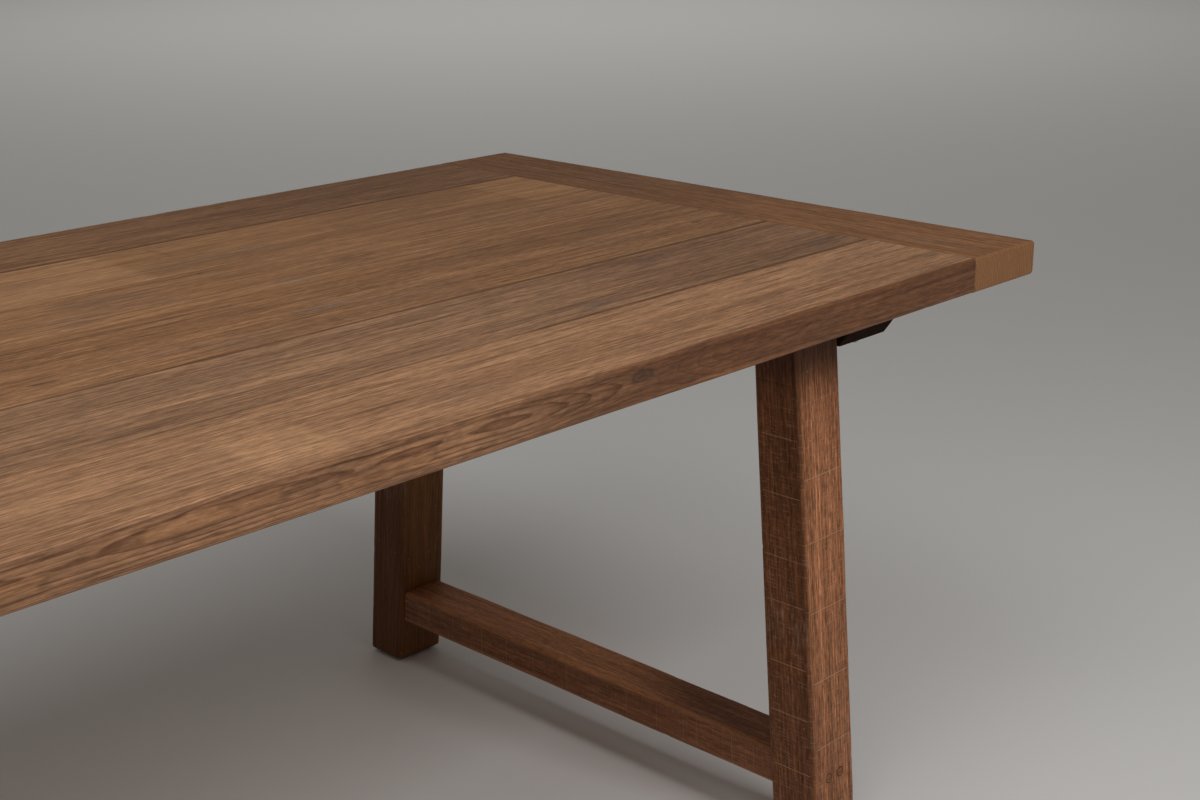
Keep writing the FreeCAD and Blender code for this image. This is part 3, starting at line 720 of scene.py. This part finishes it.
def makePlank(number, wood):
    look = plankLook
    middle = (number - lastPlank / 2) * look["pitch"]
    backJoint = number if number < lastPlank else None
    frontJoint = number - 1 if number > 0 else None

    def edgeShape(joint, along):
        if joint is None:
            return look["width"] / 2, unevenArris(look, along, number + 0.3)
        level = jointOpen(joint, along)
        gap = look["tightGap"] + (look["openGap"] - look["tightGap"]) * level
        return (look["pitch"] - gap) / 2, look["tightArris"] + look["jointArris"] * level

    def section(along):
        front, frontArris = edgeShape(frontJoint, along)
        back, backArris = edgeShape(backJoint, along)
        half = look["thickness"] / 2
        return -front, back, -half, half, backArris, backArris, frontArris, frontArris

    def marks(along, side):  # only the outer long arrises of the top are rubbed
        level, rubbed = np.zeros((len(along), side.shape[1])), np.zeros(side.shape)
        for joint, names in ((backJoint, highSide), (frontJoint, lowSide)):
            if joint is None:
                rubbed = rubbed + np.isin(side, (names[0], names[2]))
            else:
                dirt = np.minimum(jointOpen(joint, along) + look["jointDirt"], 1.0)
                level = np.maximum(level, np.isin(side, names) * dirt)
        return {"joint": level, "edge": rubbed}

    def place(local):
        return local + np.array((0, middle, look["under"] + look["thickness"] / 2))

    label, reach = number + 1, look["reach"]
    piece = buildBoard(f"topPlank{label}", look, -reach, reach, section, place, marks=marks)
    nodes = [f"top_plank_{label}"]
    if backJoint is not None:
        nodes.append(f"plank_spline_{label}")
    finish = makeWood(f"plankWood{label}", **wood)
    finishBoard(piece, finish, look, number * look["seedStep"], nodes)


for plankNumber, plankWood in enumerate(plankWoods):
    makePlank(plankNumber, plankWood)
print("planks made")

# breadboard ends, grain across the table
breadboardLook = {
    "inner": breadboardLow.x, "outer": breadboardHigh.x, "reach": breadboardHigh.y, "under": breadboardLow.z,
    "top": breadboardHigh.z, "arris": 0.0055, "arrisVary": 0.25, "arrisRate": 7.0, "endRound": 0.0035,
    "jointDirt": 0.55, "wave": 0.0003, "dents": 0.0006, "step": 0.006, "faceSteps": (24, 8),
    "woodName": "breadboardWood", "woodSeed": 83.0, "seedStep": 4, "reliefSeed": 40.0,
    "node": "breadboard", "slot": "breadboard_wood",
}
breadboardWood = dict(
    light=(0.335, 0.149, 0.0585), dark=(0.172, 0.07, 0.0265), pith=(0, -0.2, -0.06),
    ringShare=0.38, bandShare=0.22, streakShare=0.3,
    endGrain={"from": breadboardLook["reach"] - breadboardLook["endRound"], "soft": 0.002, "share": 0.75,
              "light": (0.35, 0.167, 0.068), "dark": (0.225, 0.099, 0.039)},
    patches=(patch(stainTone, 0.4, (0.35, 0.0), (0.4, 1.0), (0.3, 1.0)),))


def makeBreadboard(endName, end):
    look = breadboardLook
    middleX, middleZ = (look["inner"] + look["outer"]) / 2, (look["under"] + look["top"]) / 2
    halfU, halfV = (look["outer"] - look["inner"]) / 2, (look["top"] - look["under"]) / 2

    def section(along):
        outer = unevenArris(look, along, end + 4.0)
        return -halfU, halfU, -halfV, halfV, outer, outer, crisp, crisp

    def marks(along, side):
        joint = np.isin(side, lowSide) * look["jointDirt"]
        return {"edge": np.isin(side, ("arris0", "arris1")), "joint": joint}

    def place(local):
        return columns(end * (middleX + local[:, 1]), local[:, 0], middleZ + local[:, 2])

    makeEndBoard("breadboard", look, breadboardWood, endName, end, section, place,
                 endRound=(look["endRound"], look["endRound"]), marks=marks)


atBothEnds(makeBreadboard)
print("breadboards made")

# how far saw kerfs keep from a board's ends, and how their places wander
kerfLook = {"fromStart": 0.02, "fromEnd": 0.03, "varyRate": 40.0, "seedRate": 100}


# saw kerfs by face: how deep they cut, the stations each side of every cut, and their marks
def sawKerfs(look, start, end):
    width, places = look["kerfWidth"], {}
    for face, (first, pitch, vary) in look["kerfs"].items():
        steps = first + pitch * np.arange(int((end - start - first) / pitch) + 1)
        steps = steps + vary * wobble(steps, kerfLook["varyRate"], pitch * kerfLook["seedRate"])
        inside = (steps > start + kerfLook["fromStart"]) & (steps < end - kerfLook["fromEnd"])
        places[face] = steps[inside]

    def share(face, along):
        away = np.min(np.abs(np.ravel(along)[:, None] - places[face][None, :]), axis=1)
        return np.clip(1 - away / width, 0, 1)

    def depths(along):
        return {face: look["kerfDepth"] * share(face, along) for face in places}

    def marks(along, side):
        return {"kerf": sum(share(face, along)[:, None] * (side == face) for face in places)}

    cuts = np.concatenate([*places.values()])
    return depths, np.concatenate([cuts - width, cuts, cuts + width]), marks


# splayed legs
legLow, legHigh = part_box("leg_right_front")
leanAngle, legWidth = math.radians(5), 0.073
legLook = {
    "middleX": (legLow.x + legHigh.x) / 2, "depth": legHigh.x - legLow.x, "lean": math.tan(leanAngle),
    "levelWidth": legWidth / math.cos(leanAngle), "bottom": legLow.z, "top": legHigh.z,
    "arris": 0.0042, "arrisVary": 0.3, "arrisRate": 9.0, "footRound": 0.006,
    "taper": 0.005, "taperFrom": 0.16, "wave": 0.0004, "dents": 0.0008, "step": 0.004, "faceSteps": (14, 12),
    "woodSeed": 100.0, "reliefSeed": 60.0, "kerfWidth": 0.0008, "kerfDepth": 0.0003,
    "kerfs": {"face2": (0.033, 0.0747, 0.012), "face3": (0.05, 0.0918, 0.016),  # first cut, pitch, how uneven
              "face0": (0.02, 0.081, 0.012), "face1": (0.04, 0.087, 0.016)},
}
legLook["footReach"] = legLook["levelWidth"] - legHigh.y + legLook["lean"] * (legHigh.z - legLow.z)
legWood = dict(
    light=(0.525, 0.214, 0.096), dark=(0.245, 0.091, 0.038), streakTone=(0.11, 0.038, 0.015),
    paleTone=(0.50, 0.23, 0.105), bloomTone=(0.24, 0.10, 0.045), pith=(0, 0.13, -0.12), ringWidth=0.0034,
    ringShare=0.5, bandShare=0.42, streakShare=0.3, fineShare=0.75, threadShare=0.5, dashShare=0.1,
    poreShare=0.5, wearTone=(0.50, 0.24, 0.115), wearShare=0.12, gloss=0.2,
    saw={"lines": ((0.012, 0.0008, 0.42), (0.0036, 0.0009, 0.36)), "share": 0.8, "tone": (0.62, 0.37, 0.23),
         "until": 0.62},
    specks={"Spacing": 0.011, "Size": 0.0012, "Share": 0.25},
    patches=(
        # painted shade: the whole −X face of each leg darker, for the shade under the top
        patch((0.115, 0.039, 0.011), 0.7, (0.36, -0.042), (1.0, 0.003), (0.1, 0.006)),
        patch((0.06, 0.022, 0.009), 0.45, (0.36, -0.042), (1.0, 0.003), (0.1, 0.006),
              level=-0.028, thick=0.003),
        patch((0.5, 0.38, 0.3), 0.2, (0.305, -0.045), (0.012, 0.004), (0.05, 0.006), 0.05),
        # painted shade: the top of each leg darker, under the overhang of the top
        patch((0.05, 0.018, 0.007), 0.85, (0.73, 0.0), (0.1, 1.0), (0.08, 1.0)),
        # painted shade: each leg darker towards its foot
        patch((0.12, 0.045, 0.02), 0.27, (0.0, 0.0), (0.27, 1.0), (0.3, 1.0)),
    ))
legChanges = {  # legs of another board; the right back leg is also made much darker as painted shade
    "RightBack": dict(light=(0.2, 0.0755, 0.0085), dark=(0.1, 0.0345, 0.004), saw=None, threadShare=0.35,
                      fineShare=0.3),
    "LeftFront": dict(light=(0.40, 0.16, 0.068)),
}


def makeLeg(endName, end, sideName, side):
    look, name = legLook, endName + sideName
    length = look["top"] - look["bottom"]
    depths, cuts, marks = sawKerfs(look, 0.0, length)

    def section(along):
        cut = depths(along)
        halfU, halfV = look["depth"] / 2, look["levelWidth"] / 2
        radii = [unevenArris(look, along, end + side * 2 + corner * 5.0) for corner in range(4)]
        slim = look["taper"] * np.clip((along - look["taperFrom"]) / (length - look["taperFrom"]), 0, 1)
        low, high = cut["face3"] - halfV, halfV - cut["face1"]
        low, high = (low, high - slim) if side < 0 else (low + slim, high)
        return cut["face2"] - halfU, halfU - cut["face0"], low, high, *radii

    def place(local):
        centre = look["footReach"] - look["levelWidth"] / 2 - look["lean"] * local[:, 0]
        return columns(end * look["middleX"] + local[:, 1], side * centre + local[:, 2],
                       look["bottom"] + local[:, 0])

    piece = buildBoard(f"leg{name}", look, 0.0, length, section, place,
                       (look["footRound"], crisp), cuts, marks)
    changes = {"seed": look["woodSeed"] + end * 7 + side * 3, **legChanges.get(name, {})}
    wood = makeWood(f"legWood{name}", **{**legWood, **changes})
    finishBoard(piece, wood, look, look["reliefSeed"] + end * 3 + side,
                [f"leg_{endName.lower()}_{sideName.lower()}"])


for endName, end in tableEnds:
    for sideName, side in tableSides:
        makeLeg(endName, end, sideName, side)
print("legs made")

# stretchers between the legs
stretcherLow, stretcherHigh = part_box("stretcher_right")
stretcherLook = {
    "middleX": legLook["middleX"], "depth": stretcherHigh.x - stretcherLow.x, "lean": legLook["lean"],
    "middleZ": (stretcherLow.z + stretcherHigh.z) / 2, "height": stretcherHigh.z - stretcherLow.z,
    "arris": 0.0055, "arrisVary": 0.4, "arrisRate": 9.0,
    "wave": 0.0006, "dents": 0.0012, "step": 0.005, "faceSteps": (12, 9),
    "woodName": "stretcherWood", "woodSeed": 130.0, "seedStep": 5, "reliefSeed": 80.0,
    "node": "stretcher", "slot": "stretcher_wood", "kerfWidth": 0.0006, "kerfDepth": 0.0003,
    "kerfs": {"face2": (-0.35, 0.061, 0.02), "face0": (-0.33, 0.073, 0.02)},
}
stretcherLook["reach"] = legLook["footReach"] - legLook["levelWidth"] - legLook["lean"] * (
    stretcherLook["middleZ"] - legLook["bottom"])
stretcherWood = dict(
    light=(0.275, 0.106, 0.0445), dark=(0.15, 0.052, 0.0205), streakTone=(0.13, 0.05, 0.022), gloss=0.25,
    ringWidth=0.003, pith=(0, 0.1, -0.06), fineShare=0.5, bloomShare=0.65, bloomTone=(0.16, 0.066, 0.033),
    paleTone=(0.52, 0.26, 0.125), wearTone=(0.54, 0.28, 0.135), wearShare=0.3,
    saw={"lines": ((0.013, 0.0007, 0.5), (0.004, 0.0008, 0.35)), "share": 0.5, "tone": (0.62, 0.39, 0.24),
         "until": 2.0},
    specks={"Spacing": 0.008, "Size": 0.0011, "Share": 0.35},
    # painted light: the top face of each stretcher lighter along its middle
    patches=(patch((0.56, 0.245, 0.105), 0.78, (0.1, 0.0), (0.25, 1.0), (0.2, 1.0),
                   level=0.026, thick=0.004),))


def makeStretcher(endName, end):
    look = stretcherLook
    depths, cuts, marks = sawKerfs(look, -look["reach"], look["reach"])

    def section(along):
        cut = depths(along)
        halfU, halfV = look["depth"] / 2, look["height"] / 2
        radii = [unevenArris(look, along, end * 3 + corner * 4.0) for corner in range(4)]
        return cut["face2"] - halfU, halfU - cut["face0"], -halfV, halfV, *radii

    def place(local):
        stretch = (look["reach"] - local[:, 2] * look["lean"]) / look["reach"]
        return columns(end * look["middleX"] + local[:, 1], local[:, 0] * stretch,
                       look["middleZ"] + local[:, 2])

    makeEndBoard("stretcher", look, stretcherWood, endName, end, section, place, cuts=cuts, marks=marks)


atBothEnds(makeStretcher)
print("stretchers made")

# cross battens under the top, bevelled at both ends
battenLow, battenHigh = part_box("cross_batten_right")
bevelRun = 0.032
battenLook = {
    "middleX": (battenLow.x + battenHigh.x) / 2, "width": battenHigh.x - battenLow.x, "reach": battenHigh.y,
    "flatReach": battenHigh.y - bevelRun, "height": battenHigh.z - battenLow.z, "nose": 0.016,
    "under": battenHigh.z, "arris": 0.003, "endRound": 0.002,
    "wave": 0.0004, "dents": 0.0006, "step": 0.008, "faceSteps": (14, 9),
    "woodName": "battenShadeWood", "woodSeed": 150.0, "seedStep": 5, "reliefSeed": 90.0,
    "node": "cross_batten", "slot": "batten_wood",
}
# near-black colour: painted shade, standing in for the shadow under the top
battenShadeWood = dict(
    light=(0.026, 0.010, 0.004), dark=(0.015, 0.006, 0.0025), streakTone=(0.011, 0.005, 0.002), gloss=0.03,
    paleTone=(0.03, 0.015, 0.008), bloomTone=(0.016, 0.009, 0.006), wearTone=(0.03, 0.015, 0.008),
    pith=(0, 0.12, -0.05), roughness=0.8)


def makeBatten(endName, end):
    look = battenLook

    def section(along):
        bevel = np.clip((np.abs(along) - look["flatReach"]) / (look["reach"] - look["flatReach"]), 0, 1)
        low = -look["height"] + bevel * (look["height"] - look["nose"])
        return -look["width"] / 2, look["width"] / 2, low, 0.0, look["arris"], crisp, crisp, look["arris"]

    def place(local):
        return columns(end * look["middleX"] + local[:, 1], local[:, 0], look["under"] + local[:, 2])

    makeEndBoard("crossBatten", look, battenShadeWood, endName, end, section, place,
                 endRound=(look["endRound"], look["endRound"]), cuts=(-look["flatReach"], look["flatReach"]))


atBothEnds(makeBatten)
print("battens made")


# coarse clouds and fine specks of a plain finish
def cloudAndSpecks(tree, coarse, fine, seed, roughness=0.5):
    place = addNode(tree, "ShaderNodeTexCoord", out="Object")
    return grainNoise(place, (coarse,) * 3, seed, 4.0, roughness), grainNoise(place, (fine,) * 3, seed + 1.0)


# oiled steel of the bolts, nuts, plates and screws
def makeSteel(name, tone, rustShare, rustTone=(0.11, 0.05, 0.025)):
    material, tree = newMaterial(name)
    cloud, fine = cloudAndSpecks(tree, 160, 1500, 2.0, 0.6)
    rust = fade(cloud, 0.52, 0.72, 0.0, rustShare)
    colour = mixColour(fade(fine, 0.3, 0.7, 0.0, 0.35), tone, tuple(0.6 * part for part in tone))
    finishShader(tree, {"Base Color": mixColour(rust, colour, rustTone),
                        "Metallic": fade(rust, 0.0, 0.6, 0.95, 0.2),
                        "Roughness": fade(cloud, 0.3, 0.7, 0.34, 0.62)}, fine + rust, 0.4, 0.0003)
    return material


def makeRubber(name, dark, pale):
    material, tree = newMaterial(name)
    cloud, fine = cloudAndSpecks(tree, 120, 2200, 5.0)
    finishShader(tree, {"Base Color": mixColour(fade(cloud, 0.4, 0.7), dark, pale),
                        "Roughness": fade(cloud, 0.3, 0.7, 0.72, 0.9)}, fine, 0.5, 0.0004)
    return material


# how finely the small pieces are cut up, and the eased rim of a hex head
smallLook = {"shankSides": 24, "dowelSides": 32, "dowelSteps": 6, "threadSteps": 4.0, "cornerSteps": 4,
             "weld": 0.00001, "rimShare": 0.16, "rimScale": 0.86, "dowelEnd": 0.002, "sharpAngle": 35}


def extrudeFace(mesh, select, height, scale):
    inputs = {"Mesh": mesh, "Selection": select, "Offset Scale": height}
    made = addNode(mesh.tree, "GeometryNodeExtrudeMesh", inputs)
    inputs = {"Geometry": made, "Selection": made.at("Top"), "Scale": scale}
    return addNode(mesh.tree, "GeometryNodeScaleElements", inputs), made.at("Top")


def shiftMesh(mesh, z):
    inputs = {"Geometry": mesh, "Translation": joinVector(0.0, 0.0, z)}
    return addNode(mesh.tree, "GeometryNodeTransform", inputs)


def roundRod(tree, vertices, radius, depth, **settings):
    sizes = {"Vertices": vertices, "Radius": radius, "Depth": depth}
    return addNode(tree, "GeometryNodeMeshCylinder", sizes, **settings)


def setPlace(mesh, offset):
    return addNode(mesh.tree, "GeometryNodeSetPosition", {"Geometry": mesh, "Offset": offset})


def joinMeshes(*meshes):
    whole = addNode(meshes[0].tree, "GeometryNodeJoinGeometry")
    for mesh in meshes:
        setInputs(mesh.tree, whole.socket.node, {0: mesh})
    return whole


# sets a shape on every point, at the point's own turn
def setOnPoints(shape, given, spin=False):
    tree = shape.tree
    angles = pointValue(tree, "turn", "FLOAT_VECTOR")
    turn = addNode(tree, "FunctionNodeEulerToRotation", {"Euler": angles})
    inputs = {"Points": given["Geometry"], "Instance": shape, "Rotation": turn}
    placed = addNode(tree, "GeometryNodeInstanceOnPoints", inputs)
    if spin:
        draw = {2: 0.0, 3: math.pi, "Seed": given["Seed"]}
        angle = addNode(tree, "FunctionNodeRandomValue", draw, 1, data_type="FLOAT")
        inputs = {"Instances": placed, "Rotation": joinVector(0.0, 0.0, angle)}
        placed = addNode(tree, "GeometryNodeRotateInstances", inputs)
    return placed


# hex head or nut with a chamfered rim, over a shank with a thread cut on its tail
def makeHexTree():
    tree, given, put = shapeTree("hexFastener", {
        "Head Width": 0.019, "Head Height": 0.0075, "Shank Radius": 0.006, "Shank Length": 0.2,
        "Thread Length": 0.03, "Thread Pitch": 0.00175, "Thread Depth": 0.0008, "Seed": 0})
    look = smallLook
    rim = given["Head Height"] * look["rimShare"]
    body = given["Head Height"] - rim
    head = shiftMesh(roundRod(tree, 6, given["Head Width"] / math.sqrt(3), body), body * 0.5)
    normal = addNode(tree, "GeometryNodeInputNormal", out="Normal")
    facesUp = reckon("GREATER_THAN", splitVector(normal)[2], 0.9)
    head, top = extrudeFace(head, facesUp, rim, look["rimScale"])

    threadLength, radius = given["Thread Length"], given["Shank Radius"]
    plain = given["Shank Length"] - threadLength
    shank = shiftMesh(roundRod(tree, look["shankSides"], radius, plain), plain * -0.5)
    tail = roundRod(tree, look["shankSides"], radius, threadLength)
    turns = threadLength / given["Thread Pitch"]
    setInputs(tree, tail.socket.node, {"Side Segments": turns * look["threadSteps"]})
    x, y, z = splitVector(addNode(tree, "GeometryNodeInputPosition"))
    lead = reckon("ARCTAN2", y, x) / math.tau
    phase = reckon("FRACT", z / given["Thread Pitch"] + lead)
    groove = reckon("PINGPONG", phase, 0.5) * (given["Thread Depth"] * 2.0)
    tail = setPlace(tail, reckon("NORMALIZE", joinVector(x, y, 0.0)) * (groove * -1.0))
    tail = shiftMesh(tail, threadLength * -0.5 - plain)
    finishTree(setOnPoints(joinMeshes(head, shank, tail), given, True), given, put)
    return tree


# flat plate or pad with rounded corners and eased rims
def makePlateTree():
    tree, given, put = shapeTree("roundedPlate", {
        "Width": 0.038, "Depth": 0.038, "Thickness": 0.003, "Corner": 0.002, "Rim": 0.0005})
    sizes = {"Width": given["Width"], "Height": given["Depth"]}
    outline = addNode(tree, "GeometryNodeCurvePrimitiveQuadrilateral", sizes)
    corners = {"Curve": outline, "Radius": given["Corner"], "Count": smallLook["cornerSteps"]}
    rounded = addNode(tree, "GeometryNodeFilletCurve", corners, mode="POLY")
    sheet = addNode(tree, "GeometryNodeFillCurve", {"Curve": rounded}, mode="NGONS")
    rims = given["Rim"] * 2.0
    shrink = 1.0 - rims / given["Depth"]
    smaller = {"Geometry": sheet, "Scale": joinVector(shrink, shrink, 1.0)}
    base = addNode(tree, "GeometryNodeTransform", smaller)
    wall, top = extrudeFace(base, True, given["Rim"], 1.0 / shrink)
    wall, top = extrudeFace(wall, top, given["Thickness"] - rims, 1.0)
    wall, top = extrudeFace(wall, top, given["Rim"], shrink)
    whole = joinMeshes(wall, addNode(tree, "GeometryNodeFlipFaces", {"Mesh": base}))
    seams = {"Geometry": whole, "Distance": smallLook["weld"]}
    closed = addNode(tree, "GeometryNodeMergeByDistance", seams)
    finishTree(setOnPoints(closed, given), given, put)
    return tree


# wooden dowel trimmed to the leaning face of the leg, with a dark ring round its end that is painted shade of
# the gap round it
def makeDowelTree():
    tree, given, put = shapeTree("trimmedDowel", {
        "Radius": 0.007, "Length": 0.12, "Lean": 0.0875, "Crown": 0.0004})
    sides, steps = smallLook["dowelSides"], smallLook["dowelSteps"]
    rod = roundRod(tree, sides, given["Radius"], given["Length"], fill_type="TRIANGLE_FAN")
    setInputs(tree, rod.socket.node, {"Side Segments": steps, "Fill Segments": steps})
    rod = shiftMesh(rod, given["Length"] * -0.5)
    position = addNode(tree, "GeometryNodeInputPosition")
    x, y, z = splitVector(position)
    share = reckon("LENGTH", position * (1, 1, 0)) / given["Radius"]
    atEnd = fade(z, -smallLook["dowelEnd"], 0.0, 0.0, 1.0, "LINEAR")
    dome = (1.0 - reckon("POWER", share, 4.0)) * given["Crown"]
    trim = (y * given["Lean"] + dome) * atEnd
    for key, kind, value in (("grain", "FLOAT_VECTOR", joinVector(z, x, y)),
                             ("joint", "FLOAT", fade(share, 0.6, 0.92) * atEnd)):
        stored = {"Geometry": rod, "Name": key, "Value": value}
        rod = addNode(tree, "GeometryNodeStoreNamedAttribute", stored, data_type=kind, domain="POINT")
    rod = setPlace(rod, joinVector(0.0, 0.0, trim))
    finishTree(setOnPoints(rod, given), given, put)
    return tree


hexTree, plateTree, dowelTree = makeHexTree(), makePlateTree(), makeDowelTree()
facingTurns = {  # turn of a shape that is made facing up
    (1, 0, 0): (0, 90, 0), (-1, 0, 0): (0, -90, 0), (0, 1, 0): (-90, 0, 0), (0, -1, 0): (-90, 0, 180),
    (0, 0, 1): (0, 0, 0), (0, 0, -1): (180, 0, 0),
}


def makeRow(name, places, tree, sizes, finish, nodes):
    mesh = bpy.data.meshes.new(name)
    mesh.from_pydata([spot for spot, facing in places], [], [])
    turns = [math.radians(angle) for spot, facing in places for angle in facingTurns[facing]]
    mesh.attributes.new("turn", "FLOAT_VECTOR", "POINT").data.foreach_set("vector", turns)
    piece = addObject(name, mesh)
    runTree(piece, tree, {**sizes, "Finish": finish}, smallLook["sharpAngle"])
    joinFrame(piece, nodes)


# fasteners, plates, dowels and pads; the sizes in inner dictionaries go to tree inputs of the same names
plateLow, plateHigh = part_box("bolt_washers_right")
boltLow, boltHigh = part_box("leg_bolts_right")
nutLow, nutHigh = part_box("bolt_nuts_right")
screwLow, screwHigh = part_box("batten_screws_right")
dowelLow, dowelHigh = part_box("stretcher_dowels_right")
padLow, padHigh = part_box("foot_pad_right_front")
plateSide, plateThick = plateHigh.z - plateLow.z, legLow.x - plateLow.x
boltRadius, dowelRadius, screwEdge, dowelSunk = 0.006, 0.007, 0.014, 0.05
boltLook = {
    "height": (plateLow.z + plateHigh.z) / 2, "headSeat": plateLow.x, "nutSeat": plateHigh.x,
    "reachY": plateHigh.y - plateSide / 2, "tone": (0.30, 0.29, 0.28), "rust": 0.5,
    "head": {"Head Width": 0.019, "Head Height": plateLow.x - boltLow.x, "Shank Radius": boltRadius,
             "Shank Length": boltHigh.x - plateLow.x, "Thread Length": 0.03, "Seed": 4},
    "nut": {"Head Width": 0.019, "Head Height": nutHigh.x - nutLow.x, "Shank Radius": boltRadius * 0.8,
            "Shank Length": 0.004, "Thread Length": 0.002, "Seed": 9},
    "plate": {"Width": plateSide, "Depth": plateSide, "Thickness": plateThick, "Corner": 0.002,
              "Rim": 0.0005},
}
screwLook = {
    "middleX": battenLook["middleX"], "rows": (battenLook["flatReach"] - screwEdge, plankLook["pitch"] / 2),
    "seat": battenLow.z, "tone": (0.42, 0.41, 0.39), "rust": 0.3,
    "head": {"Head Width": 0.013, "Head Height": battenLow.z - screwLow.z, "Shank Radius": 0.004,
             "Shank Length": screwHigh.z - battenLow.z, "Thread Length": 0.02, "Seed": 14},
}
dowelLook = {
    "middleX": legLook["middleX"], "height": (dowelLow.z + dowelHigh.z) / 2,
    "apart": dowelHigh.x - dowelLow.x - 2 * dowelRadius,
    "rod": {"Radius": dowelRadius, "Length": legLook["levelWidth"] + dowelSunk, "Lean": legLook["lean"],
            "Crown": 0.0002},
}
# its dark joint tone makes the ring round the dowel's end: painted shade of the gap
dowelWood = dict(
    light=(0.27, 0.11, 0.045), dark=(0.15, 0.055, 0.022), pith=(0, 0.012, 0.004), ringWidth=0.0016,
    wearShare=0.0, jointTone=(0.04, 0.016, 0.008), jointShare=0.95, gloss=0.15, seed=170.0)
padLook = {
    "middleX": (padLow.x + padHigh.x) / 2, "reachY": -(padLow.y + padHigh.y) / 2,
    "dark": (0.018, 0.017, 0.016), "pale": (0.045, 0.042, 0.04),
    "pad": {"Width": padHigh.x - padLow.x, "Depth": padHigh.y - padLow.y, "Thickness": padHigh.z,
            "Corner": 0.006, "Rim": 0.0008},
}
cornerSigns = [(end, side) for end in (1, -1) for side in (1, -1)]


def bothEnds(stem):
    return [f"{stem}_{endName.lower()}" for endName, end in tableEnds]


def makeBolts():
    look = boltLook
    steel = makeSteel("boltSteel", look["tone"], look["rust"])

    def row(seat, way):
        return [((end * seat, side * look["reachY"], look["height"]), (way * end, 0, 0))
                for end, side in cornerSigns]

    pairs = zip(row(look["headSeat"] + plateThick, -1), row(look["nutSeat"] - plateThick, 1))
    plates = [place for pair in pairs for place in pair]
    heads, nuts = row(look["headSeat"], -1), row(look["nutSeat"], 1)
    makeRow("legBolts", heads, hexTree, look["head"], steel, bothEnds("leg_bolts"))
    makeRow("boltNuts", nuts, hexTree, look["nut"], steel, bothEnds("bolt_nuts"))
    makeRow("boltPlates", plates, plateTree, look["plate"], steel, bothEnds("bolt_washers"))


def makeScrews():
    look = screwLook
    places = [((end * look["middleX"], side * y, look["seat"]), (0, 0, -1))
              for end in (1, -1) for y in look["rows"] for side in (1, -1)]
    steel = makeSteel("screwSteel", look["tone"], look["rust"])
    makeRow("battenScrews", places, hexTree, look["head"], steel, bothEnds("batten_screws"))


def makeDowels():
    look = dowelLook
    face = legLook["footReach"] - legLook["lean"] * (look["height"] - legLook["bottom"])
    middleX, height, half = look["middleX"], look["height"], look["apart"] / 2
    places = [((end * middleX + shift * half, side * face, height), (0, side, 0))
              for end, side in cornerSigns for shift in (1, -1)]
    wood, nodes = makeWood("dowelWood", **dowelWood), bothEnds("stretcher_dowels")
    makeRow("stretcherDowels", places, dowelTree, look["rod"], wood, nodes)


def makePads():
    look = padLook
    places = [((end * look["middleX"], side * look["reachY"], 0.0), (0, 0, 1)) for end, side in cornerSigns]
    nodes = [f"foot_pad_{endName.lower()}_{sideName.lower()}"
             for endName, end in tableEnds for sideName, side in tableSides]
    rubber = makeRubber("padRubber", look["dark"], look["pale"])
    makeRow("footPads", places, plateTree, look["pad"], rubber, nodes)


makeBolts()
makeScrews()
makeDowels()
makePads()
print("fasteners, dowels and pads made")

# floor, light and camera
stageLook = {"floorTone": (0.88, 0.87, 0.855), "floorRough": 0.8, "floorReach": 40.0,
             "worldTone": (1.0, 0.955, 0.9), "worldLevel": 0.155}
lampLooks = {
    "frontLamp": {"place": (0.7, -3.15, 3.22), "aim": (0.7, -0.3, 0.5), "size": 1.3, "power": 49.0,
                  "spread": 180},
    "overheadLamp": {"place": (-0.9, -0.9, 3.0), "aim": (-0.6, -0.6, 0.7), "size": 1.8, "power": 26.5,
                     "spread": 180},
    "backLamp": {"place": (8.5, 8.0, 8.5), "aim": (8.5, 8.0, 0.0), "size": 10.0, "power": 110.0,
                 "spread": 90},
}


def makeStage():
    look = stageLook
    mesh = bpy.data.meshes.new("floor")
    far = look["floorReach"]
    mesh.from_pydata([(-far, -far, 0), (far, -far, 0), (far, far, 0), (-far, far, 0)], [], [(0, 1, 2, 3)])
    floor = addObject("floor", mesh)
    material, tree = newMaterial("paleFloor")
    finish = {"Base Color": look["floorTone"], "Roughness": look["floorRough"]}
    setInputs(tree, tree.nodes["Principled BSDF"], finish)
    mesh.materials.append(material)
    world = bpy.data.worlds.new("studio")
    world.use_nodes = True
    sky = world.node_tree.nodes["Background"]
    setInputs(world.node_tree, sky, {"Color": look["worldTone"], "Strength": look["worldLevel"]})
    bpy.context.scene.world = world
    for name, lampLook in lampLooks.items():
        light = bpy.data.lights.new(name, "AREA")
        light.energy, light.size = lampLook["power"], lampLook["size"]
        light.spread = math.radians(lampLook["spread"])
        lamp = addObject(name, light)
        lamp.location = lampLook["place"]
        lamp.rotation_euler = (Vector(lampLook["aim"]) - lamp.location).to_track_quat("-Z", "Y").to_euler()
    bpy.context.scene.view_settings.view_transform = "Standard"


cameraLook = {"place": (-0.8501, -1.6638, 1.2828), "right": (0.68816, -0.72561, -0.00419),
              "down": (-0.22313, -0.20608, -0.95278), "forward": (0.69047, 0.65656, -0.30370),
              "lens": 53.693, "sensor": 36.0}


def makeCamera():
    look = cameraLook
    data = bpy.data.cameras.new("camera")
    data.lens, data.sensor_width = look["lens"], look["sensor"]
    camera = addObject("camera", data)
    right, up, back = Vector(look["right"]), -Vector(look["down"]), -Vector(look["forward"])
    turn = Matrix((right, up, back)).transposed().to_4x4()
    camera.matrix_world = Matrix.Translation(look["place"]) @ turn
    bpy.context.scene.camera = camera


makeStage()
makeCamera()
print("stage and camera made")
